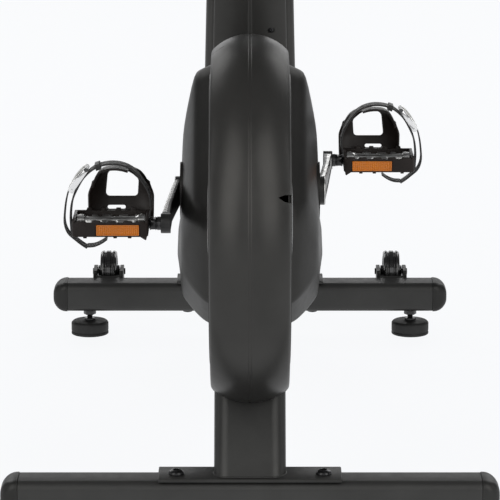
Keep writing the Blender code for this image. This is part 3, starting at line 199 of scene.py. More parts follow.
LOOKS = {
    "frame_paint": look("powder_coat", (0.03, 0.03, 0.029), 0.38, 0.5, scale=620.0, depth=0.00007,
                        uneven=0.03, wear=0.15, Specular_IOR_Level=0.34,
                        Specular_Tint=(0.5, 0.5, 0.5, 1.0)),
    "casing_plastic": look("casing_satin", (0.04, 0.0393, 0.0375), 0.35, 0.5, scale=1700.0, depth=0.00003,
                           vary=0.08, uneven=0.015, wear=0.1, Specular_IOR_Level=0.38,
                           Specular_Tint=(0.45, 0.45, 0.45, 1.0)),
    # The crank covers' copy of the casing's satin plastic, made darker and less reflective: painted shade.
    "cover_plastic_painted_shade": look("cover_satin_painted_shade", (0.037, 0.0364, 0.0348), 0.36, 0.65, scale=1700.0, depth=0.00003,
                          vary=0.08, uneven=0.015, wear=0.1, Specular_IOR_Level=0.36,
                          Specular_Tint=(0.36, 0.36, 0.36, 1.0)),
    "trim_plastic": look("trim_satin", 0.012, 0.44, scale=1300.0, depth=0.00008, wear=0.2,
                         Specular_IOR_Level=0.36),
    "foot_rubber": look("foot_rubber_matt", 0.012, 0.6, scale=900.0, depth=0.00012,
                        vary=0.3, Specular_IOR_Level=0.34),
    "wheel_plastic": look("wheel_gloss", 0.009, 0.16, scale=400.0, depth=0.00002,
                          uneven=0.05, Coat_Weight=0.4, Coat_Roughness=0.08),
    "bolt_black": look("black_oxide", (0.02, 0.02, 0.021), 0.24, 0.7, scale=1100.0, depth=0.00003,
                       wear=0.6),
    "arm_metal": look("brushed_alloy", (0.6, 0.6, 0.59), 0.3, 1.0, "brushed", 1500.0, 0.00003, vary=0.08,
                      wear=0.3),
    # Black paint of the arm's boss and panel; on the arm's inner half and sideways faces it is also painted
    # reflection and shade.
    "arm_black": look("arm_black_paint_and_painted_reflection", 0.009, 0.34, scale=700.0, depth=0.00005, wear=0.3,
                      Specular_IOR_Level=0.36),
    "pedal_metal": look("cast_alloy", (0.66, 0.66, 0.65), 0.32, 1.0, scale=800.0, depth=0.00008, vary=0.12,
                        wear=0.3),
    "bright_metal": look("chrome", 0.78, 0.14, 1.0, "brushed", 900.0, 0.00001, vary=0.05, uneven=0.04),
    "zinc": look("zinc_plate", (0.42, 0.42, 0.4), 0.34, 1.0, scale=500.0, depth=0.00003, vary=0.18),
    "cage_plastic": look("cage_brown_black", (0.013, 0.0085, 0.0068), 0.42, scale=1500.0, depth=0.00006,
                         vary=0.22, wear=0.25, Specular_IOR_Level=0.24),
    # The lens's faint orange emission is a painted glow; the reflector is no lamp.
    "amber_lens": look("amber_prisms_painted_glow", (0.47, 0.135, 0.006), 0.16, scale=300.0, depth=0.00002, vary=0.14,
                       Coat_Weight=0.2, Coat_Roughness=0.05, Emission_Color=(0.8, 0.24, 0.01, 1.0),
                       Emission_Strength=0.1),
    "strap_web": look("strap_woven", (0.016, 0.015, 0.015), 0.62, pattern="weave", scale=1.0,
                      depth=0.00025, vary=0.2, Sheen_Weight=0.3, Sheen_Roughness=0.5),
    # Light grey for the thin lines along the strap's edges: a painted highlight.
    "strap_highlight_edge": look("strap_painted_highlight_edge", (0.3, 0.3, 0.29), 0.35, scale=900.0, depth=0.00004, vary=0.2),
    "iron_grey": look("cast_iron", 0.15, 0.48, 0.8, scale=420.0, depth=0.00018, vary=0.2, wear=0.5),
    "belt_rubber": look("ribbed_belt", 0.012, 0.62, pattern="ribs", scale=110.0, depth=0.0005, vary=0.25),
    "saddle_vinyl": look("grained_vinyl", 0.016, 0.44, pattern="leather", scale=520.0,
                         depth=0.00022, vary=0.2, Sheen_Weight=0.1),
    "stitching": look("stitch_thread", 0.06, 0.7, scale=3000.0, depth=0.0001),
    "grip_foam": look("closed_cell_foam", 0.015, 0.8, pattern="pores", scale=900.0,
                      depth=0.0003, vary=0.3, Sheen_Weight=0.2),
    "console_gloss": look("console_shell", (0.014, 0.014, 0.015), 0.26, scale=1500.0, depth=0.00003,
                          Coat_Weight=0.2, Coat_Roughness=0.1),
    "screen": look("blank_display", (0.095, 0.11, 0.098), 0.18, scale=250.0, depth=0.00001, vary=0.08,
                   Coat_Weight=0.8, Coat_Roughness=0.03),
    "button": look("button_rubber", (0.11, 0.11, 0.115), 0.55, scale=1600.0, depth=0.00006, vary=0.1),
}


# ---- shapes -------------------------------------------------------------------------------------------
def raw(shape, name="shape"):
    """A bmesh as an object that is still to be joined into a piece."""
    bmesh.ops.recalc_face_normals(shape, faces=shape.faces)
    mesh = bpy.data.meshes.new(name)
    shape.to_mesh(mesh)
    shape.free()
    return placed(name, mesh)


def placed(name, data):
    """A new object in the scene."""
    obj = bpy.data.objects.new(name, data)
    bpy.context.scene.collection.objects.link(obj)
    return obj


def settle(obj):
    """Applies an object's modifiers."""
    bpy.context.view_layer.update()
    mesh = bpy.data.meshes.new_from_object(obj.evaluated_get(bpy.context.evaluated_depsgraph_get()))
    obj.modifiers.clear()
    obj.data = mesh
    return obj


def bevel(obj, width, segments=3, angle=40):
    edge = obj.modifiers.new("edges", 'BEVEL')
    edge.width = width
    edge.segments = segments
    edge.limit_method = 'ANGLE'
    edge.angle_limit = math.radians(angle)
    return settle(obj)


def thicken(obj, thickness):
    """Gives an open skin a wall, half of it to each side."""
    skin = obj.modifiers.new("wall", 'SOLIDIFY')
    skin.thickness = thickness
    skin.offset = 0.0
    return settle(obj)


def combine(obj, operation, others):
    """Boolean of an object with others, which are used up."""
    for other in others:
        step = obj.modifiers.new(operation, 'BOOLEAN')
        step.operation = operation
        step.solver = 'EXACT'
        step.object = other
    settle(obj)
    for other in others:
        bpy.data.objects.remove(other)
    return obj


def cut(obj, *cutters):
    return combine(obj, 'DIFFERENCE', cutters)


def join(obj, *others):
    return combine(obj, 'UNION', others)


def loft(rings, ring_body=False, caps=True):
    """Skins rings of equal point counts. ring_body joins the last to the first, with no caps."""
    shape = bmesh.new()
    loops = [[shape.verts.new(point) for point in ring] for ring in rings]
    pairs = list(zip(loops, loops[1:])) + ([(loops[-1], loops[0])] if ring_body else [])
    count = len(loops[0])
    for first, second in pairs:
        for i in range(count):
            j = (i + 1) % count
            shape.faces.new((first[i], first[j], second[j], second[i]))
    if caps and not ring_body:
        shape.faces.new(loops[0])
        shape.faces.new(loops[-1])
    return raw(shape)


def block(low, high, edge=0.0, segments=2):
    shape = bmesh.new()
    bmesh.ops.create_cube(shape, size=1.0)
    low, high = Vector(low), Vector(high)
    bmesh.ops.scale(shape, vec=high - low, verts=shape.verts)
    bmesh.ops.translate(shape, vec=(low + high) / 2, verts=shape.verts)
    obj = raw(shape)
    return bevel(obj, edge, segments) if edge else obj


def frame_of(direction):
    """Two directions square to a direction."""
    direction = Vector(direction).normalized()
    turn = Z.rotation_difference(direction)
    return turn @ X, turn @ Y, direction


def circle(centre, radius, across, along, sides):
    turns = [2 * math.pi * k / sides for k in range(sides)]
    return [centre + across * radius * math.cos(t) + along * radius * math.sin(t) for t in turns]


def turned(profile, base, direction, sides=48, ring=False):
    """(radius, height) points turned about an axis. ring leaves a bore from the last point to the first."""
    across, along, up = frame_of(direction)
    base = Vector(base)
    rings = [circle(base + up * height, max(radius, 0.00002), across, along, sides)
             for radius, height in profile]
    return loft(rings, ring)


def lathe(profile, base, direction, sides=48, ring=False):
    """Turned points, their corners rounded first: (radius, height, corner radius)."""
    return turned(soften(profile), base, direction, sides, ring)


def rod(start, end, radius, sides=32):
    run = Vector(end) - Vector(start)
    return turned([(radius, 0.0), (radius, run.length)], start, run, sides)


def soften(profile, steps=4):
    """Rounds the corners of an open profile: points are (radius, height, corner radius)."""
    points = []
    for i, (a, b, corner) in enumerate(profile):
        here = Vector((a, b))
        if corner <= 0 or i in (0, len(profile) - 1):
            points.append((a, b))
            continue
        before = (Vector(profile[i - 1][:2]) - here).normalized()
        after = (Vector(profile[i + 1][:2]) - here).normalized()
        for k in range(steps + 1):
            t = k / steps
            spot = here + before * corner * (1 - t) ** 2 + after * corner * t ** 2
            points.append((spot.x, spot.y))
    return points


def fillet(corners, steps=8):
    """Rounds a closed polygon: corners are (a, b, radius), and a radius of 0 keeps the point."""
    points = []
    count = len(corners)
    for i, (a, b, radius) in enumerate(corners):
        here = Vector((a, b))
        if radius <= 0:
            points.append(here)
            continue
        before = (Vector(corners[i - 1][:2]) - here).normalized()
        after = (Vector(corners[(i + 1) % count][:2]) - here).normalized()
        half = before.angle(after) / 2
        reach = radius / math.tan(half)
        centre = here + (before + after).normalized() * (radius / math.sin(half))
        start = here + before * reach - centre
        sweep = start.angle_signed(here + after * reach - centre)
        points += [centre + Matrix.Rotation(-sweep * k / steps, 2) @ start for k in range(steps + 1)]
    return points


def inset(points, amounts):
    """Moves each point of a counter-clockwise outline inwards by its own amount."""
    moved = []
    for i, point in enumerate(points):
        along = (points[(i + 1) % len(points)] - points[i - 1]).normalized()
        moved.append(point + Vector((-along.y, along.x)) * amounts[i])
    return moved


def rounded_section(half_a, half_b, corner, steps=6):
    return fillet([(half_a, -half_b, corner), (half_a, half_b, corner), (-half_a, half_b, corner),
                   (-half_a, -half_b, corner)], steps)


def section_ring(section, centre, across, along):
    return [centre + across * a + along * b for a, b in section]


def seat_ring(section, reach):
    return section_ring(section, SEAT_FOOT + SEAT_UP * reach, X, SEAT_FWD)


def mast_ring(section, reach):
    return section_ring(section, MAST_FOOT + MAST_UP * reach, X, MAST_FWD)


def cut_ring(section, base, forward, up, point, normal):
    """A section of a leaning column, cut off where it meets a plane."""
    lows = [base + forward * d for _, d in section]
    return [low + up * ((point - low).dot(normal) / up.dot(normal)) + X * x
            for low, (x, _) in zip(lows, section)]


def prism(outline, centre, across, along, through, low, high):
    """A flat outline carried from low to high along its normal."""
    return loft([section_ring(outline, centre + through * reach, across, along) for reach in (low, high)])


def curve_through(points, per_span=6):
    """Catmull-Rom points through a list of points."""
    points = [Vector(point) for point in points]
    ends = [points[0] * 2 - points[1]] + points + [points[-1] * 2 - points[-2]]
    path = []
    for i in range(1, len(ends) - 2):
        p0, p1, p2, p3 = ends[i - 1:i + 3]
        for k in range(per_span):
            t = k / per_span
            path.append(0.5 * (2 * p1 + (p2 - p0) * t + (2 * p0 - 5 * p1 + 4 * p2 - p3) * t * t
                               + (3 * p1 - p0 - 3 * p2 + p3) * t ** 3))
    path.append(points[-1])
    return path


def tube(path, radius, sides=16, closed=False):
    """A round tube along a path, its rings carried on without twisting."""
    rings = []
    count = len(path)
    across = None
    for i, spot in enumerate(path):
        before = path[i - 1] if closed or i else path[0]
        after = path[(i + 1) % count] if closed or i < count - 1 else path[-1]
        run = (after - before).normalized()
        if across is None:
            across = frame_of(run)[0]
        across = (across - run * across.dot(run)).normalized()
        rings.append(circle(spot, radius, across, run.cross(across), sides))
    return loft(rings, closed)


def tape(path, side, half_wide, half_thick, shift=0.0, repeat=0.0015):
    """Flat webbing along a path, its width along side, with a thread map in its UVs."""
    shape = bmesh.new()
    threads = shape.loops.layers.uv.new("threads")
    section = [(-1, -1), (-0.4, -1), (0.4, -1), (1, -1), (1.04, 0), (1, 1), (0.4, 1), (-0.4, 1), (-1, 1),
               (-1.04, 0)]
    loops, lengths = [], []
    travelled = 0.0
    for i, spot in enumerate(path):
        before, after = path[max(i - 1, 0)], path[min(i + 1, len(path) - 1)]
        travelled += (spot - path[i - 1]).length if i else 0.0
        normal = (after - before).normalized().cross(side).normalized()
        loops.append([shape.verts.new(spot + side * (a * half_wide + shift) + normal * half_thick * b)
                      for a, b in section])
        lengths.append(travelled)
    for (first, second), (near, far) in zip(zip(loops, loops[1:]), zip(lengths, lengths[1:])):
        for i in range(len(section)):
            j = (i + 1) % len(section)
            face = shape.faces.new((first[i], first[j], second[j], second[i]))
            spots = ((near, section[i]), (near, section[j]), (far, section[j]), (far, section[i]))
            for loop, (reach, (a, _)) in zip(face.loops, spots):
                loop[threads].uv = (reach / repeat, a * half_wide / repeat)
    shape.faces.new(loops[0])
    shape.faces.new(loops[-1])
    return raw(shape)


def piece(name, body, slot, parts, nodes=(), angle=32):
    """Joins (object, look) pairs into one named piece that rides on a body and stands for CAD nodes.

    A look is a name, or a function that picks one for each polygon. A single object takes the slot's look.
    """
    if not isinstance(parts, list):
        parts = [(parts, slot)]
    gathered = bmesh.new()
    mesh = bpy.data.meshes.new(name)
    for part, finish in parts:
        for polygon in part.data.polygons:
            material = LOOKS[finish(polygon) if callable(finish) else finish]
            if material.name not in mesh.materials:
                mesh.materials.append(material)
            polygon.material_index = mesh.materials.find(material.name)
        gathered.from_mesh(part.data)
        bpy.data.objects.remove(part)
    gathered.to_mesh(mesh)
    gathered.free()
    mesh.shade_smooth()
    mesh.set_sharp_from_angle(angle=math.radians(angle))
    obj = placed(name, mesh)
    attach(obj, body)
    if nodes:
        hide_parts(*nodes)
    return obj


def model(cad_node, body, slot, parts, angle=32):
    """The piece that stands for one CAD node."""
    return piece(f"{cad_node}_fine", body, slot, parts, [cad_node], angle)


def hexagon(centre, radius, direction, low, high, edge=0.0004):
    across, along, up = frame_of(direction)
    obj = loft([circle(centre + up * reach, radius, across, along, 6) for reach in (low, high)])
    return bevel(obj, edge, 2)


def button_screw(centre, direction, radius, tall, socket=0.45):
    """A domed head with a hexagon socket, standing on a washer-thin skirt."""
    centre = Vector(centre)
    dome = [(radius, 0.0)] + [(radius * math.cos(t), tall * 0.15 + tall * 0.85 * math.sin(t))
                              for t in [math.pi / 2 * k / 8 for k in range(8)]] + [(0.0, tall)]
    head = turned(dome, centre, direction, 32)
    return cut(head, hexagon(centre, radius * socket, direction, tall * 0.45, tall * 1.5, 0.00005))


# ---- base: stabilisers, caps, feet, transport wheels ----------------------------------------------------
def stabiliser(name, y, half_length):
    """Rounded tube, open inside its caps."""
    reach = half_length - CAP_LENGTH - GAP
    outer = rounded_section(TUBE_DEPTH / 2, (TUBE_HIGH - TUBE_LOW) / 2, TUBE_CORNER, 8)
    inner = rounded_section(TUBE_DEPTH / 2 - TUBE_WALL, (TUBE_HIGH - TUBE_LOW) / 2 - TUBE_WALL,
                            TUBE_CORNER - TUBE_WALL, 8)
    rings = [section_ring(section, Vector((x, y, TUBE_MID)), Y, Z)
             for section, ends in ((outer, (-reach, reach)), (inner, (reach, -reach))) for x in ends]
    model(name, "frame", "frame_paint", loft(rings, True))


def end_cap(name, y, half_length, side):
    """Domed cap with a collar line where it meets the tube."""
    start = half_length - CAP_LENGTH
    rings = []
    steps = 14
    half_d, half_h = TUBE_DEPTH / 2 + 0.0006, (TUBE_HIGH - TUBE_LOW) / 2 + 0.0006
    stations = [(start, 0.0007), (start + 0.0006, 0.0)]
    for k in range(steps + 1):
        turn = math.pi / 2 * k / steps
        stations.append((start + 0.002 + (CAP_LENGTH - 0.002) * math.sin(turn), 0.016 * (1 - math.cos(turn))))
    for x, shrink in stations:
        section = rounded_section(half_d - shrink * 0.85, half_h - shrink,
                                  min(TUBE_CORNER, (half_h - shrink) * 0.8), 8)
        rings.append(section_ring(section, Vector((side * x, y, TUBE_MID)), Y, Z))
    model(name, "frame", "trim_plastic", [(loft(rings), "frame_paint")])


def levelling_foot(name, x, y):
    """Ribbed rubber pad, a hexagon nut and a threaded stem."""
    base = Vector((x, y, 0.0))
    rim = FOOT_R
    pad = [(rim - 0.0012, 0.0, 0), (rim, 0.0, 0.0008), (rim, 0.003, 0.0005), (rim - 0.001, 0.0036, 0.0003),
           (rim - 0.001, 0.0046, 0.0003), (rim, 0.0052, 0.0005), (rim, 0.016, 0.0015),
           (0.0235, 0.0183, 0.001), (0.012, 0.0188, 0.001), (0.0095, 0.0194, 0.001), (0.0, 0.0194, 0)]
    parts = [(lathe(pad, base, Z, 64), "foot_rubber")]
    thread = []
    pitch, low, high = 0.00125, 0.016, 0.0558
    for k in range(int((high - low) / pitch)):
        thread += [(0.0034, low + pitch * k), (0.004, low + pitch * (k + 0.5))]
    parts.append((turned([(0.0, low)] + thread + [(0.0, high)], base, Z, 24), "bolt_black"))
    parts.append((hexagon(base, 0.0088, Z, 0.0278, 0.0348), "bolt_black"))
    parts.append((hexagon(base, 0.0078, Z, 0.019, 0.0222), "bolt_black"))
    model(name, name, "foot_rubber", parts)


def caster(side, hand):
    """Transport wheel with two grooves, in a folded bracket with its axle bolt."""
    x = side * CASTER_X
    face = FRONT_Y + TUBE_DEPTH / 2 + GAP
    axle = Vector((x, CASTER_Y, CASTER_Z))
    reach, tall, ear, web = CASTER_Y + 0.0118 - face, 0.0195, 0.021, 0.016
    crest = 0.0138
    outline = fillet([(0.0, -tall, 0.003), (reach, -0.004, 0.008), (reach, crest, 0.008),
                      (0.0, crest, 0.003)], 8)
    middle = Vector((x, face, CASTER_Z - 0.0055))
    body = prism(outline, middle, Y, Z, X, -ear, ear)
    slot = block((x - web, face + 0.0035, 0.02), (x + web, CASTER_Y + 0.03, 0.12))
    notch = block((x - web, face - 0.01, TUBE_HIGH), (x + web, CASTER_Y, 0.12))
    parts = [(bevel(cut(body, slot, notch), 0.0006, 2), "frame_paint")]
    for end in (-1, 1):
        parts.append((hexagon(axle, 0.0046, X * end, ear, ear + 0.002), "bolt_black"))
    parts.append((rod(axle - X * (ear + 0.0005), axle + X * (ear + 0.0005), 0.0038), "bolt_black"))
    model(f"transport_bracket_{hand}", "frame", "frame_paint", parts)
    half, bore, rim = 0.0115, 0.0043, CASTER_R
    side_face = [(bore, 0.015, 0), (0.0085, 0.015, 0.0006), (0.0095, 0.0095, 0.0008),
                 (0.0205, 0.0085, 0.0008), (0.0225, half, 0.0008), (rim - 0.0025, half, 0.0012),
                 (rim, half - 0.003, 0.0012), (rim, 0.0062, 0.0003), (rim - 0.0016, 0.0054, 0.0003),
                 (rim - 0.0016, 0.0036, 0.0003), (rim, 0.0028, 0.0003)]
    profile = soften(side_face) + [(a, -b) for a, b in soften(side_face)[::-1]]
    model(f"transport_wheel_{hand}", f"transport_wheel_{hand}", "wheel_plastic",
          turned(profile, axle, X, 64, True))


def leg(name, tube_y, top):
    """Flat-oval leg welded to its base plate, with a fine bead round its foot."""
    low = TUBE_HIGH + GAP
    plate = block((-PLATE_HALF, tube_y - PLATE_HALF_D, low),
                  (PLATE_HALF, tube_y + PLATE_HALF_D, low + PLATE_THICK), 0.0011, 3)
    foot, top, _, across = leg_run(tube_y, top)
    oval = rounded_section(LEG_HALF_X, LEG_HALF_D, LEG_HALF_D - 0.0005, 12)
    column = loft([section_ring(oval, foot, X, Y), section_ring(oval, foot.lerp(top, 0.5), X, across),
                   section_ring(oval, top, X, across)])
    seam = [Vector((a, tube_y + b, low + PLATE_THICK)) for a, b in
            rounded_section(LEG_HALF_X + 0.0002, LEG_HALF_D + 0.0002, LEG_HALF_D - 0.0004, 12)]
    model(name, "frame", "frame_paint",
          [(plate, "frame_paint"), (column, "frame_paint"), (tube(seam, 0.001, 8, True), "frame_paint")])


def leg_run(tube_y, top):
    """A leg's two end points, its direction, and the direction across it."""
    foot = Vector((0.0, tube_y, TUBE_HIGH + GAP + PLATE_THICK / 2))
    top = Vector((0.0, *top))
    run = (top - foot).normalized()
    return foot, top, run, Vector((0.0, run.z, -run.y))


def base():
    for label, y, half in (("front", FRONT_Y, FRONT_HALF), ("rear", REAR_Y, REAR_HALF)):
        stabiliser(f"{label}_stabiliser", y, half)
        for side, hand in SIDES:
            end_cap(f"{label}_cap_{hand}", y, half, side)
            levelling_foot(f"{label}_foot_{hand}", side * FOOT_X, y)
    leg("front_leg", FRONT_Y, FRONT_LEG_TOP)
    leg("rear_leg", REAR_Y, REAR_LEG_TOP)
    for side, hand in SIDES:
        caster(side, hand)
        top = TUBE_HIGH + GAP + PLATE_THICK + GAP
        spot = Vector((side * BOLT_X, REAR_Y - 0.004, top))
        model(f"rear_bolt_{hand}", "frame", "bolt_black", button_screw(spot, Z, 0.0088, 0.0055))
        under = Vector((side * NUT_X, FRONT_Y, TUBE_LOW))
        nut = [(0.01, 0.0, 0), (0.01, 0.0012, 0.0003), (0.0078, 0.0012, 0.0002), (0.0078, 0.004, 0.002),
               (0.0, 0.0062, 0)]
        piece(f"front_nut_{hand}", "frame", "bolt_black", lathe(nut, under, -Z, 32))


# ---- casing ---------------------------------------------------------------------------------------------
SEAM_HALF, SEAM_DEPTH = 0.0014, 0.0007
EDGE_R = 0.003
TOWER_TAPER, TAPER_FROM = 0.55, 0.5         # share of the width lost per metre of height, and from where
DISH_R, DISH_RIM = 0.034, 0.036            # crank cover's round dish and the rim round it


def tower_width(z):
    """The casing's share of its full width at a height."""
    return 1.0 - TOWER_TAPER * max(0.0, z - TAPER_FROM)


def housing_outline():
    """Side outline of the casing: the wheel's arc, the seat tower and the body round the crank."""
    front_top = SEAT_FOOT + SEAT_FWD * 0.05
    rear_top = SEAT_FOOT - SEAT_FWD * 0.05
    arc_from, arc_to = math.radians(35), math.radians(305)
    ends = [(WHEEL.y + WHEEL_R * math.cos(turn), WHEEL.z + WHEEL_R * math.sin(turn), 0)
            for turn in (arc_from, arc_to)]
    first = fillet([(0.285, 0.105, 0.03), (0.298, 0.29, 0.05), (*DECK_FRONT, 0.024),
                    (*DECK_REAR, 0.03), (front_top.y, front_top.z, 0.012),
                    (rear_top.y, rear_top.z, 0.012), (-0.066, 0.452, 0.03), *ends,
                    (-0.128, 0.15, 0.03), (0.0, 0.105, 0.06)], 8)
    split = next(i for i, point in enumerate(first)
                 if abs((point - Vector((WHEEL.y, WHEEL.z))).length - WHEEL_R) < 1e-6)
    steps = 96
    turns = [arc_from + (arc_to - arc_from) * k / steps for k in range(1, steps)]
    arc = [Vector((WHEEL.y + WHEEL_R * math.cos(t), WHEEL.z + WHEEL_R * math.sin(t))) for t in turns]
    return even_out(first[:split + 1] + arc + first[split + 1:], 0.016)


def even_out(outline, longest):
    """Adds points along the long straight stretches of an outline."""
    points = []
    for i, here in enumerate(outline):
        after = outline[(i + 1) % len(outline)]
        parts = max(1, math.ceil((after - here).length / longest))
        points += [here.lerp(after, k / parts) for k in range(parts)]
    return points


def crown_weights(outline):
    """1 along the wheel's tread and less along the rest, blended over a stretch of the outline."""
    middle = Vector((WHEEL.y, WHEEL.z))
    weights = [1.0 if (point - middle).length < WHEEL_R + 0.002 else 0.35 for point in outline]
    for _ in range(36):
        weights = [(weights[i - 1] + 2 * weights[i] + weights[(i + 1) % len(weights)]) / 4
                   for i in range(len(weights))]
    return weights


def housing_shape(side, levels, wall):
    outline = housing_outline()
    weights = crown_weights(outline)
    rings = []
    for x, chamfer in levels:
        drop = CROWN_R - math.sqrt(CROWN_R ** 2 - max(x, 0.0) ** 2)
        amounts = [wall + chamfer + drop * weight for weight in weights]
        rings.append([Vector((side * x * tower_width(z), y, z)) for y, z in inset(outline, amounts)])
    return loft(rings)


def leg_way(tube_y, top, reach):
    """The hole that a leg's upper end needs in the casing."""
    _, top, run, across = leg_run(tube_y, top)
    oval = rounded_section(LEG_HALF_X + 0.0006, LEG_HALF_D + 0.0015, LEG_HALF_D, 12)
    return loft([section_ring(oval, top + run * end, X, across) for end in (-reach, 0.003)])


def housing_ways():
    """What passes through the casing: seat post, mast, spindle, pin, dial and the two legs."""
    pin = SEAT_FOOT - SEAT_UP * PIN_DOWN
    return [loft([seat_ring(rounded_section(0.0214, 0.0344, 0.004), s) for s in (-0.05, 0.05)]),
            loft([mast_ring(rounded_section(0.0292, 0.0212, 0.004), s) for s in (-0.08, 0.02)]),
            rod(CRANK - X * 0.06, CRANK + X * 0.06, 0.0235), rod(pin, pin + SEAT_FWD * 0.08, 0.0075),
            rod(DIAL - Z * 0.05, DIAL + Z * 0.03, 0.0056),
            leg_way(REAR_Y, REAR_LEG_TOP, 0.055), leg_way(FRONT_Y, FRONT_LEG_TOP, 0.09)]


def housing(side, hand):
    edge = [(HOUSING_HALF - EDGE_R + EDGE_R * math.sin(t), EDGE_R * (1 - math.cos(t)) * 0.8)
            for t in [math.pi / 2 * k / 5 for k in range(6)]]
    outer = [(0.0, SEAM_DEPTH), (SEAM_HALF - 0.0008, SEAM_DEPTH), (SEAM_HALF - 0.0003, SEAM_DEPTH * 0.8),
             (SEAM_HALF + 0.0002, 0.0003), (SEAM_HALF + 0.0008, 0.0)]
    outer += [(x, 0.0) for x in (0.006, 0.01, 0.014, 0.018, 0.022, 0.026, 0.03, 0.034, 0.038)] + edge
    held = HOUSING_HALF - HOUSING_WALL
    inner = [(-0.01, 0.0), (0.01, 0.0), (0.02, 0.0), (0.03, 0.0), (held, 0.0)]
    shell = cut(housing_shape(side, outer, 0.0), housing_shape(side, inner, HOUSING_WALL), *housing_ways())
    parts = [(shell, "casing_plastic")]
    if side > 0:
        spot, facing = tread_point(math.radians(161), 0.0365)
        along = facing.cross(X).normalized()
        notch = fillet([(-0.0085, 0.0, 0.001), (0.001, -0.0042, 0.002), (0.012, -0.0048, 0),
                        (0.012, 0.0046, 0), (0.001, 0.0034, 0.002)], 4)
        pocket = prism(notch, spot, along.cross(facing), along, facing, -0.005, 0.008)
        hole_out = Vector((0.1, -0.939, -0.345)).normalized()
        hole = Vector((0.0255, -0.089, 0.518))
        across = hole_out.cross(X)
        oval = prism(rounded_section(0.0046, 0.0036, 0.0035), hole, X, across, hole_out, -0.0024, 0.004)
        dash = prism(rounded_section(0.003, 0.0006, 0.0005), hole + Vector((0.0065, 0.0, -0.0062)), X,
                     across, hole_out, -0.0015, 0.004)
        cut(shell, pocket, oval, dash)
        parts.append((button_screw(hole - hole_out * 0.0026, hole_out, 0.0032, 0.0012), "bolt_black"))
    else:
        slit = [tread_point(math.radians(95), -0.0425 + 0.0015 * k)[0] for k in range(10)]
        cut(shell, tube(slit, 0.0009, 8))
    model(f"housing_{hand}", "frame", "casing_plastic", parts, 28)


def tread_point(turn, x):
    """A point on the wheel's crowned tread, and the way it faces."""
    drop = CROWN_R - math.sqrt(CROWN_R ** 2 - x ** 2)
    radial = Vector((0.0, math.cos(turn), math.sin(turn)))
    facing = (radial * math.sqrt(CROWN_R ** 2 - x ** 2) + X * x).normalized()
    return WHEEL + radial * (WHEEL_R - drop) + X * x, facing


def housing_trim():
    """Round hub covers on the wheel's sides, a raised ring, and the screws that hold the halves."""
    for side, hand in SIDES:
        face = WHEEL + X * side * HOUSING_HALF
        ring = [(0.156, -0.0005, 0), (0.1566, 0.0012, 0.0004), (0.1634, 0.0012, 0.0004), (0.164, -0.0005, 0)]
        hub = [(0.064, -0.0005, 0), (0.064, 0.0016, 0.0012), (0.06, 0.0022, 0.0006),
               (0.0585, 0.0012, 0.0004), (0.056, 0.0012, 0.0004), (0.054, 0.0024, 0.001),
               (0.03, 0.004, 0.006), (0.0, 0.0042, 0)]
        parts = [(lathe(ring, face, X * side, 128, True), "casing_plastic"),
                 (lathe(hub, face, X * side, 96), "trim_plastic")]
        piece(f"wheel_hub_cover_{hand}", "frame", "casing_plastic", parts)
    spots = [(WHEEL.y + 0.182 * math.cos(t), WHEEL.z + 0.182 * math.sin(t))
             for t in [math.radians(a) for a in (85, 130, 175, 220, 262)]]
    spots += [(-0.05, 0.6), (0.02, 0.49)]
    heads = []
    for y, z in spots:
        x = HOUSING_HALF * tower_width(z)
        heads.append((button_screw((x - 0.0013, y, z), X, 0.0042, 0.0016, 0.5), "bolt_black"))
    piece("housing_screws", "frame", "bolt_black", heads)


def cover_outline(low_y, high_y, low_z, high_z, front_z, corner):
    """Rounded outline: a straight rear end over a slanting lower edge, its top sloping to the front."""
    crease_z = low_z + min(0.05, (high_z - low_z) * 0.3)
    return fillet([(high_y, low_z, corner), (high_y, front_z, min(corner, 0.03)),
                   (low_y * 0.55 + high_y * 0.45, high_z, corner), (low_y, (low_z + high_z) / 2, corner),
                   (low_y * 0.96 + high_y * 0.04, crease_z, max(0.003, corner * 0.3)),
                   (low_y * 0.75 + high_y * 0.25, low_z, corner)], 10)


def crank_cover(side, hand):
    """Domed side cover, with a shallow round dish for the crank's hub."""
    wall = 0.0025
    fine = []
    for first, second in zip(COVER_LEVELS, COVER_LEVELS[1:]):
        fine += [[a + (b - a) * t for a, b in zip(first, second)] for t in (0.0, 0.25, 0.5, 0.75)]
    fine.append(list(COVER_LEVELS[-1]))
    for _ in range(2):
        fine = [fine[0]] + [[(a + 2 * b + c) / 4 for a, b, c in zip(*three)]
                            for three in zip(fine, fine[1:], fine[2:])] + [fine[-1]]
    rings, inner = [], []
    for k, (x, *shape) in enumerate(fine):
        outline = cover_outline(*shape)
        rings.append([Vector((side * x, y, z)) for y, z in outline])
        back = x - wall * 0.8 if k else x - 0.01
        inner.append([Vector((side * back, y, z)) for y, z in inset(outline, [wall] * len(outline))])
    shell = cut(loft(rings), loft(inner))
    out = X * side
    join(shell, rod(CRANK + out * 0.076, CRANK + out * 0.079, DISH_RIM, 64),
         rod(CRANK + out * 0.076, CRANK + out * 0.0872, DISH_RIM, 64))
    cut(shell, rod(CRANK + out * 0.079, CRANK + out * 0.12, DISH_R, 64),
        rod(CRANK + out * 0.05, CRANK + out * 0.12, 0.0125))
    # The cover shell takes the darker copy of the casing plastic: painted shade.
    model(f"crank_cover_{hand}", "frame", "casing_plastic", [(shell, "cover_plastic_painted_shade")], 24)


# ---- cranks ---------------------------------------------------------------------------------------------
def crank_end(side):
    """Pedal axle point: the left arm points back, the right arm forward."""
    return CRANK + Vector((0.0, math.cos(CRANK_TILT), math.sin(CRANK_TILT))) * CRANK_LENGTH * side


def arm_section(share, recess):
    """Outer and inner face, and half height, of the arm at a share of its length."""
    out = ARM_HUB_OUT + (ARM_END_OUT - ARM_HUB_OUT) * share ** 0.9
    thick = ARM_MID_T + (ARM_END_T - ARM_MID_T) * max(0.0, share * 3 - 2)
    return out - recess, out - thick, 0.0165 + (0.0105 - 0.0165) * share


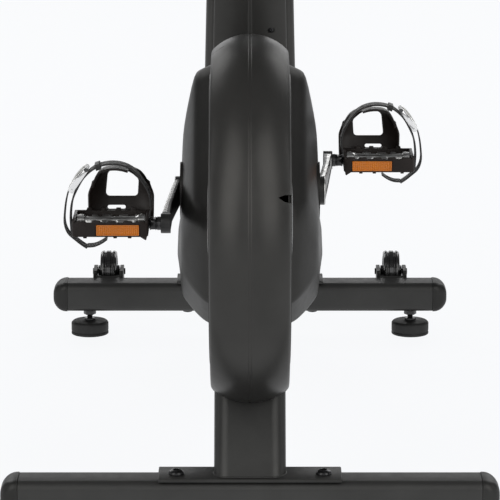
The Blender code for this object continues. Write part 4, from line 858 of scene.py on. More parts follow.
def crank_arm(side, hand):
    """Alloy arm with a black panel let into its outer face, a hub with its cap and a boss for the axle."""
    along = Vector((0.0, math.cos(CRANK_TILT), math.sin(CRANK_TILT))) * side
    upward = Vector((0.0, -along.z, along.y))
    edge = 0.0015

    def arm_ring(share, recess, narrow, floor):
        out, low, half = arm_section(share, recess)
        half -= narrow
        low = out - floor if floor else low
        centre = CRANK + along * CRANK_LENGTH * share
        corner = min(edge, half * 0.4, (out - low) * 0.45)
        middle = low + (out - low) * 0.45
        return section_ring(fillet([(out, -half, corner), (out, half, corner), (middle, half, 0),
                                    (low, half, corner), (low, -half, corner), (middle, -half, 0)], 3),
                            centre, X * side, upward)

    shares = [k / 24 for k in range(25)]
    arm = loft([arm_ring(share, 0.0, 0.0, 0.0) for share in shares])
    end, out = crank_end(side), X * side
    hub = lathe([(HUB_R, ARM_HUB_OUT - ARM_HUB_T, 0), (HUB_R, ARM_HUB_OUT + 0.0008, 0.0012),
                 (0.0, ARM_HUB_OUT + 0.0008, 0)], (0, CRANK.y, CRANK.z), out, 64)
    boss = lathe([(BOSS_R, ARM_END_OUT - ARM_END_T, 0), (BOSS_R, ARM_END_OUT + 0.0003, 0.001),
                  (0.0, ARM_END_OUT + 0.0003, 0)], (0, end.y, end.z), out, 64)
    join(arm, hub, boss)
    lane = [share for share in shares if 0.16 <= share <= 0.88]
    groove = loft([arm_ring(share, -0.002, 0.003, 0.003) for share in lane])
    cut(arm, groove, rod(CRANK + out * 0.05, CRANK + out * 0.0885, 0.0093),
        rod(CRANK + out * 0.0925, CRANK + out * 0.12, 0.0115),
        rod(end + out * 0.08, end + out * 0.12, 0.0072))
    panel = loft([arm_ring(share, 0.0009, 0.0032, 0.0012) for share in lane])
    cap = [(0.0112, 0.0925, 0), (0.0112, 0.0946, 0.0008), (0.0085, 0.0951, 0.0004), (0.008, 0.0942, 0.0003),
           (0.0, 0.0942, 0)]

    # Black on the boss end is the arm's own paint; the black on the inner half and on every sideways face is
    # partly that paint and partly painted reflection and shade of the dark casing.
    def arm_paint_and_painted_reflection(polygon):
        spot = polygon.center
        at_end = math.hypot(spot.y - end.y, spot.z - end.z) < BOSS_R * 1.25
        share = min(1.0, math.hypot(spot.y - CRANK.y, spot.z - CRANK.z) / CRANK_LENGTH)
        out_x, low_x, _ = arm_section(share, 0.0)
        inner = abs(spot.x) < low_x + (out_x - low_x) * 0.45
        return "arm_black" if at_end or inner or abs(polygon.normal.x) > 0.6 else "arm_metal"

    parts = [(arm, arm_paint_and_painted_reflection), (panel, "arm_black"),
             (lathe(cap, (0, CRANK.y, CRANK.z), out, 48), "trim_plastic")]
    model(f"crank_arm_{hand}", "crank", "arm_metal", parts)


def pedal_axle(side, hand):
    """Black axle: thread, shoulder with spanner flats, and the thin journal inside the pedal."""
    end = crank_end(side)
    base = Vector((0.0, end.y, end.z))
    shaft = [(0.0, 0.096), (0.0058, 0.096), (0.0069, 0.097), (0.0069, 0.1076), (0.0082, 0.1076),
             (0.0082, 0.1112), (0.0076, 0.1118), (0.0076, 0.1128), (0.0082, 0.1134), (0.0082, 0.1196),
             (0.0078, 0.1205), (0.004, 0.1212), (0.004, 0.208), (0.0035, 0.2085), (0.0, 0.2085)]
    axle = turned(shaft, base, X * side, 48)
    flats = [block((min(side * 0.1137, side * 0.1192), end.y - 0.02, end.z + way * 0.0115 - 0.005),
                   (max(side * 0.1137, side * 0.1192), end.y + 0.02, end.z + way * 0.0115 + 0.005))
             for way in (-1, 1)]
    model(f"pedal_axle_{hand}", "crank", "bolt_black", cut(axle, *flats))


# ---- pedals ---------------------------------------------------------------------------------------------
CAGE_LOW, CAGE_HIGH = -0.0105, 0.0125
CLIP_MID_U, CLIP_HALF_U = -0.0105, 0.0395
CLIP_SPINE = [(0.0385, -0.006), (0.043, 0.008), (0.048, 0.026), (0.048, 0.044), (0.043, 0.057),
              (0.031, 0.0635), (0.015, 0.0655), (0.0, 0.066)]             # (forward, up)
STRAP_ROUTE = [(-0.0465, 0.0105), (-0.048, 0.022), (-0.0465, 0.036), (-0.0395, 0.051), (-0.0265, 0.067),
               (-0.0075, 0.0742), (0.014, 0.0715), (0.03, 0.06), (0.04, 0.044), (0.046, 0.029),
               (0.0482, 0.012), (0.0478, -0.002),
               (0.047, -0.0105)]                                               # (outward, up)
STRAP_HALF, STRAP_V = 0.0095, -0.001
PEDAL_BORE = 0.0043


class PedalSpace:
    """Outward, forward and up directions of one pedal, about its middle."""

    def __init__(self, side):
        end = crank_end(side)
        self.origin = Vector((side * PEDAL_X, end.y, end.z))
        self.out = X * side

    def at(self, u, v, w):
        return self.origin + self.out * u + Y * v + Z * w

    def box(self, low, high, edge=0.0, segments=2):
        a, b = self.at(*low), self.at(*high)
        return block([min(p, q) for p, q in zip(a, b)], [max(p, q) for p, q in zip(a, b)], edge, segments)

    def wall(self, outline, low, high):
        """A (u, w) outline carried along v."""
        return prism(outline, self.origin, self.out, Z, Y, low, high)


def toothed(half, low, high, teeth, tooth, step=0.003):
    """Outline of a cage wall: a straight lower edge and square teeth along the top."""
    corners = [(-half, low, 0.0015), (half, low, 0.0015), (half, high - step, 0.0012)]
    for spot in sorted(teeth, reverse=True):
        corners += [(spot + tooth, high - step, 0.0006), (spot + tooth * 0.72, high, 0.0006),
                    (spot - tooth * 0.72, high, 0.0006), (spot - tooth, high - step, 0.0006)]
    corners.append((-half, high - step, 0.0012))
    return fillet(corners, 3)


def pedal_cage(space, hand):
    """Ring plate with toothed front and rear walls, low ends and small teeth under the rear wall."""
    wall = 0.004
    teeth = [-0.036, -0.021, -0.002, 0.0165, 0.035]
    bumps = [-0.0264, -0.0078, 0.0096, 0.0276]
    half, low = PEDAL_HALF_U - 0.001, CAGE_LOW + 0.001
    front = space.wall(toothed(half, low, CAGE_HIGH, bumps, 0.0036), PEDAL_HALF_V - wall, PEDAL_HALF_V)
    rear = space.wall(toothed(half, low, CAGE_HIGH - 0.0025, teeth, 0.006, 0.0022),
                      -PEDAL_HALF_V, -PEDAL_HALF_V + wall)
    frame_bits = []
    for end in (-1, 1):
        a, b = sorted((end * PEDAL_HALF_U, end * (PEDAL_HALF_U - wall)))
        frame_bits.append(space.box((a, -PEDAL_HALF_V + 0.0008, -0.0088), (b, PEDAL_HALF_V - 0.0008, 0.0098),
                                    0.0009))
    for a in (-0.0234, -0.006, 0.03):
        frame_bits.append(space.box((a - 0.0022, -PEDAL_HALF_V + 0.0004, CAGE_LOW - 0.0008),
                                    (a + 0.0022, -PEDAL_HALF_V + wall, CAGE_LOW + 0.004), 0.0006))
    hook = fillet([(-0.033, -0.0075, 0.001), (-0.0445, -0.0075, 0.001), (-0.043, -0.014, 0.001)], 3)
    frame_bits.append(space.wall(hook, -PEDAL_HALF_V + 0.0004, -PEDAL_HALF_V + wall))
    cage = bevel(join(bevel(front, 0.0005, 2), bevel(rear, 0.0005, 2), *frame_bits), 0.0001, 1, 60)
    cut(cage, rod(space.at(-0.07, 0, 0), space.at(0.07, 0, 0), 0.0088, 48),
        space.box((-0.036, -0.05, -0.0086), (0.018, -PEDAL_HALF_V + 0.0021, 0.0058)))
    model(f"pedal_cage_{hand}", f"pedal_{hand}", "cage_plastic", cage)


def pedal_body(space, hand):
    """Die-cast body: flanged barrel, two cross pieces and four ribs that reach to the rear wall."""
    barrel = [(0.0105, -0.0405, 0), (0.0105, -0.033, 0.0008), (0.0088, -0.03, 0.0015), (0.0082, 0.0, 0.0),
              (0.0088, 0.03, 0.0015), (0.0105, 0.033, 0.0008), (0.0105, 0.0405, 0)]
    body = turned([(PEDAL_BORE, -0.0405)] + soften(barrel) + [(PEDAL_BORE, 0.0405)], space.origin,
                  space.out, 48, True)
    bars = [space.box((end - 0.004, -0.0272, -0.0045), (end + 0.004, 0.0272, 0.006), 0.001, 3)
            for end in (-0.0365, 0.0365)]
    reach = PEDAL_HALF_V - 0.0064
    for u, half in ((-0.032, 0.0042), (-0.0144, 0.0058), (0.0054, 0.0062), (0.0206, 0.0036)):
        bars.append(space.box((u - half, -reach, -0.001), (u + half, reach, 0.0058), 0.0012, 3))
    join(body, *bars)
    cut(body, rod(space.at(-0.07, 0, 0), space.at(0.07, 0, 0), PEDAL_BORE))
    screws = [(button_screw(space.at(u, v, 0.006), Z, 0.0026, 0.0013, 0.5), "zinc")
              for u in (-0.0365, 0.0365) for v in (-0.0215, 0.0215)]
    dust_cap = [(0.008, 0.0405, 0), (0.008, 0.0412, 0.0004), (0.0055, 0.042, 0.0006), (PEDAL_BORE, 0.042, 0)]
    cap = turned([(PEDAL_BORE, 0.0405)] + soften(dust_cap), space.origin, space.out, 40, True)
    model(f"pedal_body_{hand}", f"pedal_{hand}", "pedal_metal",
          [(body, "pedal_metal"), (cap, "trim_plastic")] + screws)


def reflector(space, hand):
    """Amber lens of small pyramids in a narrow frame, let into the cage's rear wall."""
    low_u, high_u, low_w, high_w = -0.0345, 0.0165, -0.0078, 0.005
    face = -PEDAL_HALF_V - 0.0003
    backing = space.box((low_u, face + 0.0008, low_w), (high_u, -PEDAL_HALF_V + 0.0018, high_w), 0.0004)
    shape = bmesh.new()
    columns, rows, rim = 20, 5, 0.0011
    grid = [[shape.verts.new(space.at(low_u + rim + (high_u - low_u - 2 * rim) * c / columns, face + 0.0007,
                                      low_w + rim + (high_w - low_w - 2 * rim) * r / rows))
             for c in range(columns + 1)] for r in range(rows + 1)]
    back = [[shape.verts.new(v.co + Y * 0.0004) for v in (row[0], row[-1])] for row in (grid[0], grid[-1])]
    cells = [shape.faces.new((grid[r][c], grid[r][c + 1], grid[r + 1][c + 1], grid[r + 1][c]))
             for r in range(rows) for c in range(columns)]
    peaks = bmesh.ops.poke(shape, faces=cells)
    for peak in peaks["verts"]:
        peak.co.y -= 0.0006
    (a, b), (c, d) = back
    shape.faces.new((a, b, d, c))
    for strip, ends in ((grid[0], (a, b)), (grid[-1], (c, d)), ([row[0] for row in grid], (a, c)),
                        ([row[-1] for row in grid], (b, d))):
        shape.faces.new([*strip, ends[1], ends[0]])
    edges = [space.box((from_u, face, from_w), (to_u, face + 0.001, to_w), 0.0003)
             for from_u, to_u, from_w, to_w in ((low_u, high_u, low_w, low_w + rim),
                                                (low_u, high_u, high_w - rim, high_w),
                                                (low_u, low_u + rim, low_w, high_w),
                                                (high_u - rim, high_u, low_w, high_w))]
    # The lens material glows faintly: a painted glow.
    lens = [(part, "amber_lens") for part in [raw(shape), backing, *edges]]
    model(f"reflector_{hand}", f"pedal_{hand}", "amber_lens", lens, 15)


def ease(value, start, stop):
    """0 before start, 1 after stop, and a smooth step between them."""
    t = min(1.0, max(0.0, (value - start) / (stop - start)))
    return t * t * (3 - 2 * t)


def clip_point(space, row, across):
    """A point of the toe clip's middle surface: row runs up and back over the toe, across from -1 to 1."""
    share = row / (len(CLIP_ROUTE) - 1)
    tongue = ease(share, 0.58, 0.86)
    half = CLIP_HALF_U - 0.005 * ease(share, 0.28, 0.42) - 0.018 * tongue
    u = CLIP_MID_U + 0.0065 * tongue + across * half
    droop = 0.022 * abs(across) ** 5 * ease(share, 0.4, 0.6) * (1 - tongue) + 0.003 * across ** 2 * tongue
    pull = 0.014 * abs(across) ** 3 * min(1.0, share * 3) * (1 - share)
    return space.at(u, CLIP_ROUTE[row].x - pull, CLIP_ROUTE[row].y - droop)


CLIP_ROUTE = curve_through(CLIP_SPINE)


def toe_clip(space, hand):
    """Moulded guide over the toe, with a rounded window, a slot below it and a rolled rim."""
    rows, columns = len(CLIP_ROUTE), 40
    shape = bmesh.new()
    grid = [[shape.verts.new(clip_point(space, r, 2 * c / columns - 1)) for c in range(columns + 1)]
            for r in range(rows)]
    for r in range(rows - 1):
        for c in range(columns):
            shape.faces.new((grid[r][c], grid[r][c + 1], grid[r + 1][c + 1], grid[r + 1][c]))
    guide = thicken(raw(shape), 0.0028)
    window = fillet([(-0.0318, 0.0228, 0.006), (0.0098, 0.0228, 0.006), (0.006, 0.0602, 0.01),
                     (-0.0205, 0.0575, 0.008), (-0.0332, 0.0455, 0.008)], 6)
    slot = [Vector((a - 0.005, b + 0.011)) for a, b in rounded_section(0.011, 0.0024, 0.0022, 5)]
    cut(guide, *[space.wall(outline, 0.028, 0.07) for outline in (window, slot)])
    rim = []
    for a, b in window:
        row = min((k for k in range(rows) if CLIP_ROUTE[k].x > 0.034), key=lambda k: abs(CLIP_ROUTE[k].y - b))
        spot = clip_point(space, row, (a - CLIP_MID_U) / CLIP_HALF_U)
        rim.append(Vector((space.at(a, 0, 0).x, spot.y, space.at(0, 0, b).z)))
    parts = [(bevel(guide, 0.0006, 2, 50), "cage_plastic"), (tube(rim, 0.0014, 8, True), "cage_plastic")]
    for u in (-0.033, 0.012):
        screw = button_screw(space.at(u, PEDAL_HALF_V + 0.0085, 0.002), Y, 0.0034, 0.0018)
        parts.append((screw, "bolt_black"))
    model(f"toe_clip_{hand}", f"pedal_{hand}", "cage_plastic", parts)


def toe_strap(space, hand):
    """Webbing over the toe, doubled on its outer side, with a thin light-grey line along each edge as painted
    highlight, and its tail.
    """
    def spots(route):
        return [space.at(p.x, STRAP_V, p.y) for p in curve_through(route)]

    parts = [(tape(spots(STRAP_ROUTE), Y, STRAP_HALF, 0.0011), "strap_web")]
    # A thin light-grey tube along each edge of the strap: painted highlight.
    for edge in (-1, 1):
        painted_highlight = [spot + Y * (STRAP_HALF - 0.0001) * edge for spot in spots(STRAP_ROUTE)]
        parts.append((tube(painted_highlight, 0.00045, 8), "strap_highlight_edge"))
    outer = [(0.034, 0.064), (0.0475, 0.047), (0.0525, 0.0335), (0.055, 0.0175), (0.0556, 0.002),
             (0.0515, -0.01), (0.0425, -0.0185), (0.035, -0.0245), (0.029, -0.0285)]
    parts.append((tape(spots(outer), Y, STRAP_HALF - 0.0004, 0.0009), "strap_web"))
    tail = [(0.029, -0.027), (0.02, -0.0262), (0.012, -0.0228), (0.005, -0.018)]
    parts.append((tape(spots(tail), Y, STRAP_HALF - 0.0008, 0.0009), "strap_web"))
    model(f"toe_strap_{hand}", f"pedal_{hand}", "strap_web", parts, 50)


def strap_keeper(space, hand):
    """Moulded loop round the webbing, at the top of the toe."""
    keeper_at, keeper_run = Vector((0.015, 0.0708)), Vector((0.02, -0.007)).normalized()
    normal = Vector((-keeper_run.y, keeper_run.x))
    loop_path = []
    for a, b in rounded_section(STRAP_HALF + 0.0022, 0.0032, 0.002, 4):
        flat = keeper_at + normal * b
        loop_path.append(space.at(flat.x, STRAP_V + a, flat.y))
    keeper = [[spot + space.out * keeper_run.x * shift + Z * keeper_run.y * shift for spot in loop_path]
              for shift in (-0.003, -0.0015, 0.0, 0.0015, 0.003)]
    skin = thicken(loft(keeper, caps=False), 0.001)
    piece(f"strap_keeper_{hand}", f"pedal_{hand}", "trim_plastic", skin)


def strap_buckle(space, hand):
    """Bright buckle on the strap's outer side: two plates, three cross pins and a lever."""
    low, high = Vector((0.0445, 0.04)), Vector((0.025, 0.0665))
    run = (high - low).normalized()
    lift = Vector((run.y, -run.x)) * 0.003
    length = (high - low).length
    plates = []
    for end in (-1, 1):
        outline = fillet([(-0.002, -0.0028, 0.002), (length + 0.001, -0.002, 0.002),
                          (length + 0.002, 0.004, 0.003), (length * 0.45, 0.0058, 0.008),
                          (-0.002, 0.0042, 0.003)], 5)
        base = space.at(low.x + lift.x, STRAP_V + end * (STRAP_HALF + 0.0014), low.y + lift.y)
        along = (space.out * run.x + Z * run.y)
        away = (space.out * run.y - Z * run.x)
        plates.append(bevel(prism(outline, base, along, away, Y, -0.0006, 0.0006), 0.0003, 2))
    wide = STRAP_HALF + 0.003
    pins = []
    for share, radius, rise in ((0.02, 0.0017, 0.0012), (0.5, 0.0022, 0.004), (0.97, 0.0026, 0.0018)):
        spot = low + (high - low) * share + Vector((run.y, -run.x)) * (0.003 + rise * 0.5)
        pins.append((rod(space.at(spot.x, STRAP_V - wide, spot.y), space.at(spot.x, STRAP_V + wide, spot.y),
                         radius, 20), "bright_metal" if share < 0.9 else "bolt_black"))
    lever_low, lever_high = low + (high - low) * 0.1 + lift * 2.2, low + (high - low) * 0.92 + lift * 2.5
    arch = [lever_low.lerp(lever_high, k / 8) + lift * 0.5 * math.sin(math.pi * k / 8) for k in range(9)]
    lever = tape([space.at(p.x, STRAP_V, p.y) for p in arch], Y, STRAP_HALF - 0.004, 0.0008)
    parts = [(plate, "bright_metal") for plate in plates] + pins + [(lever, "zinc")]
    piece(f"strap_buckle_{hand}", f"pedal_{hand}", "bright_metal", parts)


def drive():
    for side, hand in SIDES:
        crank_arm(side, hand)
        pedal_axle(side, hand)
        space = PedalSpace(side)
        for build in (pedal_cage, pedal_body, reflector, toe_clip, toe_strap, strap_keeper, strap_buckle):
            build(space, hand)


# ---- seat -----------------------------------------------------------------------------------------------
SEWN_SHARE = 0.62                 # the sewn lines' place, as a share of the half width


def saddle_half_width(share):
    """Half width along the saddle: 0 is the rear edge, 1 the nose."""
    wide = 0.098 * math.sqrt(max(0.0, 1 - (max(0.0, 0.3 - share) / 0.3) ** 2.4))
    narrow = 0.026 * math.sqrt(max(0.0, 1 - (max(0.0, share - 0.93) / 0.07) ** 2))
    mix = 1 / (1 + math.exp(-(share - 0.47) * 13))
    return max(0.006, wide * (1 - mix) + narrow * mix)


def saddle_ring(z, grow, drop, count=40):
    """An outline of the saddle at a height; drop tips it towards the nose."""
    length = SADDLE_NOSE - SADDLE_REAR
    shares = [0.5 - 0.5 * math.cos(math.pi * k / count) for k in range(count + 1)]
    right = [(max(0.004, saddle_half_width(s) + grow), SADDLE_REAR + length * s) for s in shares]
    ring = []
    for x, y in right + [(-x, y) for x, y in right[::-1]]:
        share = (y - SADDLE_REAR) / length
        ring.append(Vector((x, SADDLE_MID + (y - SADDLE_MID) * (1 + grow * 2), z + drop * (0.5 - share))))
    return ring


def swell(obj, pressure, cap, floor_rise):
    """Blows a closed skin up by cloth simulation; no point moves further than cap, nor below its start."""
    start = [v.co.copy() for v in obj.data.vertices]
    lowest = min(p.z for p in start)
    cloth = obj.modifiers.new("stuffing", 'CLOTH')
    cloth.settings.use_pressure = True
    cloth.settings.uniform_pressure_force = pressure
    cloth.settings.effector_weights.gravity = 0.0
    cloth.point_cache.frame_start, cloth.point_cache.frame_end = 1, 20
    for frame_number in range(1, 21):
        bpy.context.scene.frame_set(frame_number)
    settle(obj)
    bpy.context.scene.frame_set(1)
    for vertex, origin in zip(obj.data.vertices, start):
        move = vertex.co - origin
        if move.length > cap:
            move *= cap / move.length
        if origin.z < lowest + floor_rise:
            move *= max(0.0, (origin.z - lowest) / floor_rise) ** 2
        vertex.co = origin + move


def saddle_cushion():
    """Padded cover: a slightly smaller form, blown up, with a piped edge, two sewn lines and a nose seam."""
    levels = [(0.0, -0.003, 0.008), (0.006, 0.001, 0.009), (0.016, 0.001, 0.011), (0.026, -0.003, 0.013),
              (0.034, -0.011, 0.015), (0.039, -0.021, 0.017), (0.041, -0.034, 0.018)]
    form = loft([saddle_ring(CUSHION_LOW + rise, grow, drop) for rise, grow, drop in levels])
    grid = form.modifiers.new("voxels", 'REMESH')
    grid.mode = 'VOXEL'
    grid.voxel_size = 0.0045
    settle(form)
    swell(form, 4.0, 0.006, 0.008)
    fine = form.modifiers.new("fine", 'SUBSURF')
    fine.levels = fine.render_levels = 1
    settle(form)
    centre_z = CUSHION_LOW + 0.03
    for vertex in form.data.vertices:
        point = vertex.co
        share = (point.y - SADDLE_REAR) / (SADDLE_NOSE - SADDLE_REAR)
        if point.z > centre_z:
            channel = math.exp(-(point.x / 0.01) ** 2) * 0.0045 * min(1.0, max(0.0, 1.15 - share) * 1.6)
            line = SEWN_SHARE * saddle_half_width(share)
            sewn = math.exp(-((abs(point.x) - line) / 0.0022) ** 2) * 0.0022
            point.z -= channel + sewn
    parts = [(form, "saddle_vinyl")]
    edge = saddle_ring(CUSHION_LOW + 0.0035, -0.0005, 0.009, 48)
    parts.append((tube(edge, 0.0024, 10, True), "saddle_vinyl"))
    cushion = model("saddle_cushion", "saddle", "saddle_vinyl", parts, 60)
    stitch_line(cushion)


def stitch_line(cushion):
    """Short thread runs that stand on the cushion along its two sewn lines."""
    bpy.context.view_layer.update()
    stitches = []
    pitch, length = 0.0048, SADDLE_NOSE - SADDLE_REAR
    for side in (-1, 1):
        y = SADDLE_REAR + 0.03
        while y < SADDLE_NOSE - 0.03:
            ends = []
            for reach in (0.0, pitch * 0.62):
                share = (y + reach - SADDLE_REAR) / length
                x = side * SEWN_SHARE * saddle_half_width(share)
                hit, spot, _, _ = cushion.ray_cast(Vector((x, y + reach, 1.0)), -Z)
                if hit:
                    ends.append(spot + Z * 0.0002)
            if len(ends) == 2:
                middle = (ends[0] + ends[1]) / 2 + Z * 0.0003
                stitches.append((tube([ends[0] - Z * 0.0006, ends[0], middle, ends[1], ends[1] - Z * 0.0006],
                                      0.00045, 6), "stitching"))
            y += pitch
    piece("saddle_stitching", "saddle", "saddle_vinyl", stitches)


def seat_post():
    """Post with its groove and height marks."""
    section = rounded_section(POST_HALF_X, POST_HALF_D, 0.012, 8)
    post = loft([seat_ring(section, POST_BOTTOM),
                 cut_ring(section, SEAT_FOOT, SEAT_FWD, SEAT_UP, Z * POST_TOP_Z, Z)])
    middle = SEAT_FOOT + SEAT_FWD * POST_HALF_D
    groove = fillet([(0.005, -0.004, 0.001), (0.005, 0.01, 0), (-0.005, 0.01, 0), (-0.005, -0.004, 0.001)], 3)
    cut(post, loft([section_ring(groove, middle + SEAT_UP * s, X, SEAT_FWD) for s in (-0.25, 0.035)]))
    marks = []
    for k in range(6):
        spot = SEAT_FOOT + SEAT_UP * (0.03 + 0.015 * k) - SEAT_FWD * POST_HALF_D
        marks.append(rod(spot - SEAT_FWD * 0.002, spot + SEAT_FWD * 0.0012, 0.0034, 24))
    cut(post, *marks)
    model("seat_post", "seat_post", "bright_metal", post)


def saddle_rail():
    """Flat rail on the post's top, with a plug in each end."""
    rail = block((-RAIL_HALF, RAIL_REAR, RAIL_Z), (RAIL_HALF, RAIL_FRONT, RAIL_Z + RAIL_TALL), 0.0022, 4)
    plugs = [block((-0.0128, y - 0.0012, RAIL_Z + 0.0012),
                   (0.0128, y + 0.0012, RAIL_Z + RAIL_TALL - 0.0012), 0.0008) for y in (-0.2146, -0.0304)]
    model("saddle_rail", "seat_post", "bright_metal",
          [(rail, "bright_metal")] + [(plug, "trim_plastic") for plug in plugs])


def saddle_base():
    """Dished plate with the slider that runs on the rail, its clamp knob and four screws."""
    plate = loft([saddle_ring(SADDLE_LOW + rise, grow, drop) for rise, grow, drop in
                  ((0.0, -0.02, 0.0), (0.002, -0.012, 0.001), (0.006, -0.004, 0.004), (0.01, -0.001, 0.006),
                   (0.0138, 0.0, 0.008))])
    slider = block((-0.024, -0.155, RAIL_Z + 0.001), (0.024, -0.088, SADDLE_LOW + 0.003), 0.0025, 3)
    join(plate, slider)
    cut(plate, block((-0.0143, -0.3, 0.5), (0.0143, 0.1, RAIL_Z + RAIL_TALL + GAP)))
    knob = [(0.0, 0.0, 0), (0.004, 0.0, 0), (0.004, 0.006, 0.0003), (0.012, 0.006, 0.0012),
            (0.013, 0.016, 0.002), (0.0, 0.017, 0)]
    screws = [(button_screw((x, y, RAIL_Z + 0.0012), -Z, 0.0032, 0.001, 0.5), "bolt_black")
              for x in (-0.0188, 0.0188) for y in (-0.145, -0.098)]
    model("saddle_base", "saddle", "trim_plastic",
          [(plate, "trim_plastic"), (lathe(knob, (0.0235, -0.1215, RAIL_Z + 0.009), X, 40), "trim_plastic")]
          + screws)


def seat_sleeve():
    """Collar between the post and the tower's top."""
    outside = ((0.0012, 0), (0.008, 0), (0.0104, 0.0006), (0.0116, 0.002), (0.012, 0.004))
    inside = ((0.012, -0.0012), (0.0108, 0), (0.0012, 0))
    rings = []
    for half_x, half_d, corner, reaches in ((0.03, 0.044, 0.016, outside), (0.0171, 0.0301, 0.012, inside)):
        for reach, shrink in reaches:
            section = rounded_section(half_x - shrink, half_d - shrink, corner - shrink, 8)
            rings.append(seat_ring(section, reach))
    model("seat_sleeve", "frame", "trim_plastic", loft(rings, True))


def seat_pin():
    """Spring pin with a fluted pull knob."""
    pin_base = SEAT_FOOT - SEAT_UP * PIN_DOWN
    pin = [(0.0, 0.09, 0), (0.015, 0.09, 0.002), (0.018, 0.088, 0.003), (0.0186, 0.07, 0.003),
           (0.012, 0.0625, 0.0015), (0.012, 0.0545, 0.0006), (0.0065, 0.0545, 0.0003),
           (0.0065, 0.036, 0.0006), (0.0038, 0.0345, 0.0004), (0.0038, 0.028, 0.0008), (0.0028, 0.027, 0),
           (0.0, 0.027, 0)]
    handle = lathe(pin, pin_base, SEAT_FWD, 60)
    cut(handle, *grip_flutes(pin_base, SEAT_FWD, 0.069, 0.0905, 0.0208, 0.0035, 9))
    model("seat_pin", "seat_pin", "trim_plastic", handle)


def grip_flutes(base, direction, low, high, radius, flute, count):
    """Cutters for the finger flutes round a knob."""
    across, along, up = frame_of(direction)
    return [rod(spot + up * low, spot + up * high, flute, 20)
            for spot in circle(Vector(base), radius, across, along, count)]


# ---- mast, handlebar, console ---------------------------------------------------------------------------
def mast():
    """The mast's tapered cover with its collar, and the tube inside it."""
    shells = []
    for wall in (0.0, 0.003):
        low = rounded_section(0.0585 - wall, 0.04 - wall, 0.022 - wall, 12)
        high = rounded_section(0.046 - wall, 0.032 - wall, 0.022 - wall, 12)
        first = cut_ring(low, MAST_FOOT, MAST_FWD, MAST_UP, DECK_AT + DECK_UP * GAP * 2, DECK_UP)
        last = mast_ring(high, MAST_COVER_TOP)
        shells.append([[a.lerp(b, k / 6) for a, b in zip(first, last)] for k in range(7)])
    cover = bevel(loft(shells[0] + shells[1][::-1], True), 0.001, 2, 60)
    collar_low = rounded_section(0.0475, 0.0335, 0.023, 12)
    collar = loft([mast_ring(collar_low, s) for s in (0.545, 0.563)])
    cut(collar, loft([mast_ring(rounded_section(0.0282, 0.0202, 0.006), s) for s in (0.5, 0.6)]))
    model("mast_cover", "frame", "casing_plastic",
          [(cover, "casing_plastic"), (bevel(collar, 0.0015, 3, 50), "trim_plastic")])
    rings = []
    for section, ends in ((rounded_section(0.028, 0.02, 0.006, 8), (MAST_BOTTOM, MAST_TOP)),
                          (rounded_section(0.025, 0.017, 0.003, 8), (MAST_TOP, MAST_BOTTOM))):
        rings += [mast_ring(section, s) for s in ends]
    model("mast_tube", "frame", "frame_paint", loft(rings, True))


def handlebar_clamp():
    """Clamp on the mast's top: split behind the bar, with four screws."""
    low = MAST_FOOT + MAST_UP * CLAMP_LOW
    levels = ((0.0, 0.03, 0.022), (0.004, 0.0315, 0.0235), (0.012, 0.032, 0.024), (0.036, 0.032, 0.024),
              (0.044, 0.026, 0.018), (0.1, 0.02, 0.012))
    clamp = loft([section_ring(rounded_section(half_x, half_d, 0.006, 6), low + MAST_UP * reach, X, MAST_FWD)
                  for reach, half_x, half_d in levels])
    above = prism(rounded_section(0.1, 0.1, 0.01, 2), CONSOLE_AT, X, CONSOLE_UP, CONSOLE_FACE,
                  CONSOLE_BACK - GAP, 0.1)
    cut(clamp, above, rod(BAR - X * 0.1, BAR + X * 0.1, BAR_R + GAP, 48))
    cut(clamp, block((-0.04, BAR.y - 0.04, BAR.z - 0.0008), (0.04, BAR.y - BAR_R, BAR.z + 0.0008)))
    spots = [Vector((x, BAR.y, BAR.z)) - MAST_FWD * 0.0238 + MAST_UP * rise
             for x in (-0.022, 0.022) for rise in (-0.0075, 0.0075)]
    screws = [(button_screw(spot, -MAST_FWD, 0.004, 0.0022, 0.5), "bolt_black") for spot in spots]
    model("handlebar_clamp", "frame", "trim_plastic", [(clamp, "trim_plastic")] + screws)


def handlebar():
    """One bent tube with a ribbed foam grip on each end."""
    right = curve_through([BAR + Vector(spot) for spot in HORN], 10)
    right.append(BAR + GRIP_FROM + GRIP_RUN * (GRIP_LENGTH - 0.009))
    left = [Vector((-p.x, p.y, p.z)) for p in right[::-1]]
    model("handlebar", "handlebar", "frame_paint", tube(left + right, BAR_R, 32), 60)
    lead = 0.004                      # bare bar before a grip
    for side, hand in SIDES:
        start = BAR + Vector((GRIP_FROM.x * side, GRIP_FROM.y, GRIP_FROM.z)) + GRIP_RUN * lead
        length, bore, out = GRIP_LENGTH - lead, BAR_R + 0.0006, GRIP_R
        profile = [(0.0, length, 0), (out - 0.006, length, 0.002), (out - 0.001, length - 0.005, 0.003)]
        for k in range(9):
            at = length - 0.014 - 0.01 * k
            profile += [(out, at, 0.001), (out - 0.0007, at - 0.0025, 0.0008),
                        (out - 0.0007, at - 0.0045, 0.0008), (out, at - 0.007, 0.001)]
        profile += [(out, 0.005, 0.001), (out - 0.002, 0.0, 0.001), (bore, 0.0, 0),
                    (bore, length - 0.0065, 0), (0.0, length - 0.0065, 0)]
        foam = model(f"grip_{hand}", "handlebar", "grip_foam",
                     turned(soften(profile), start, GRIP_RUN, 48), 60)


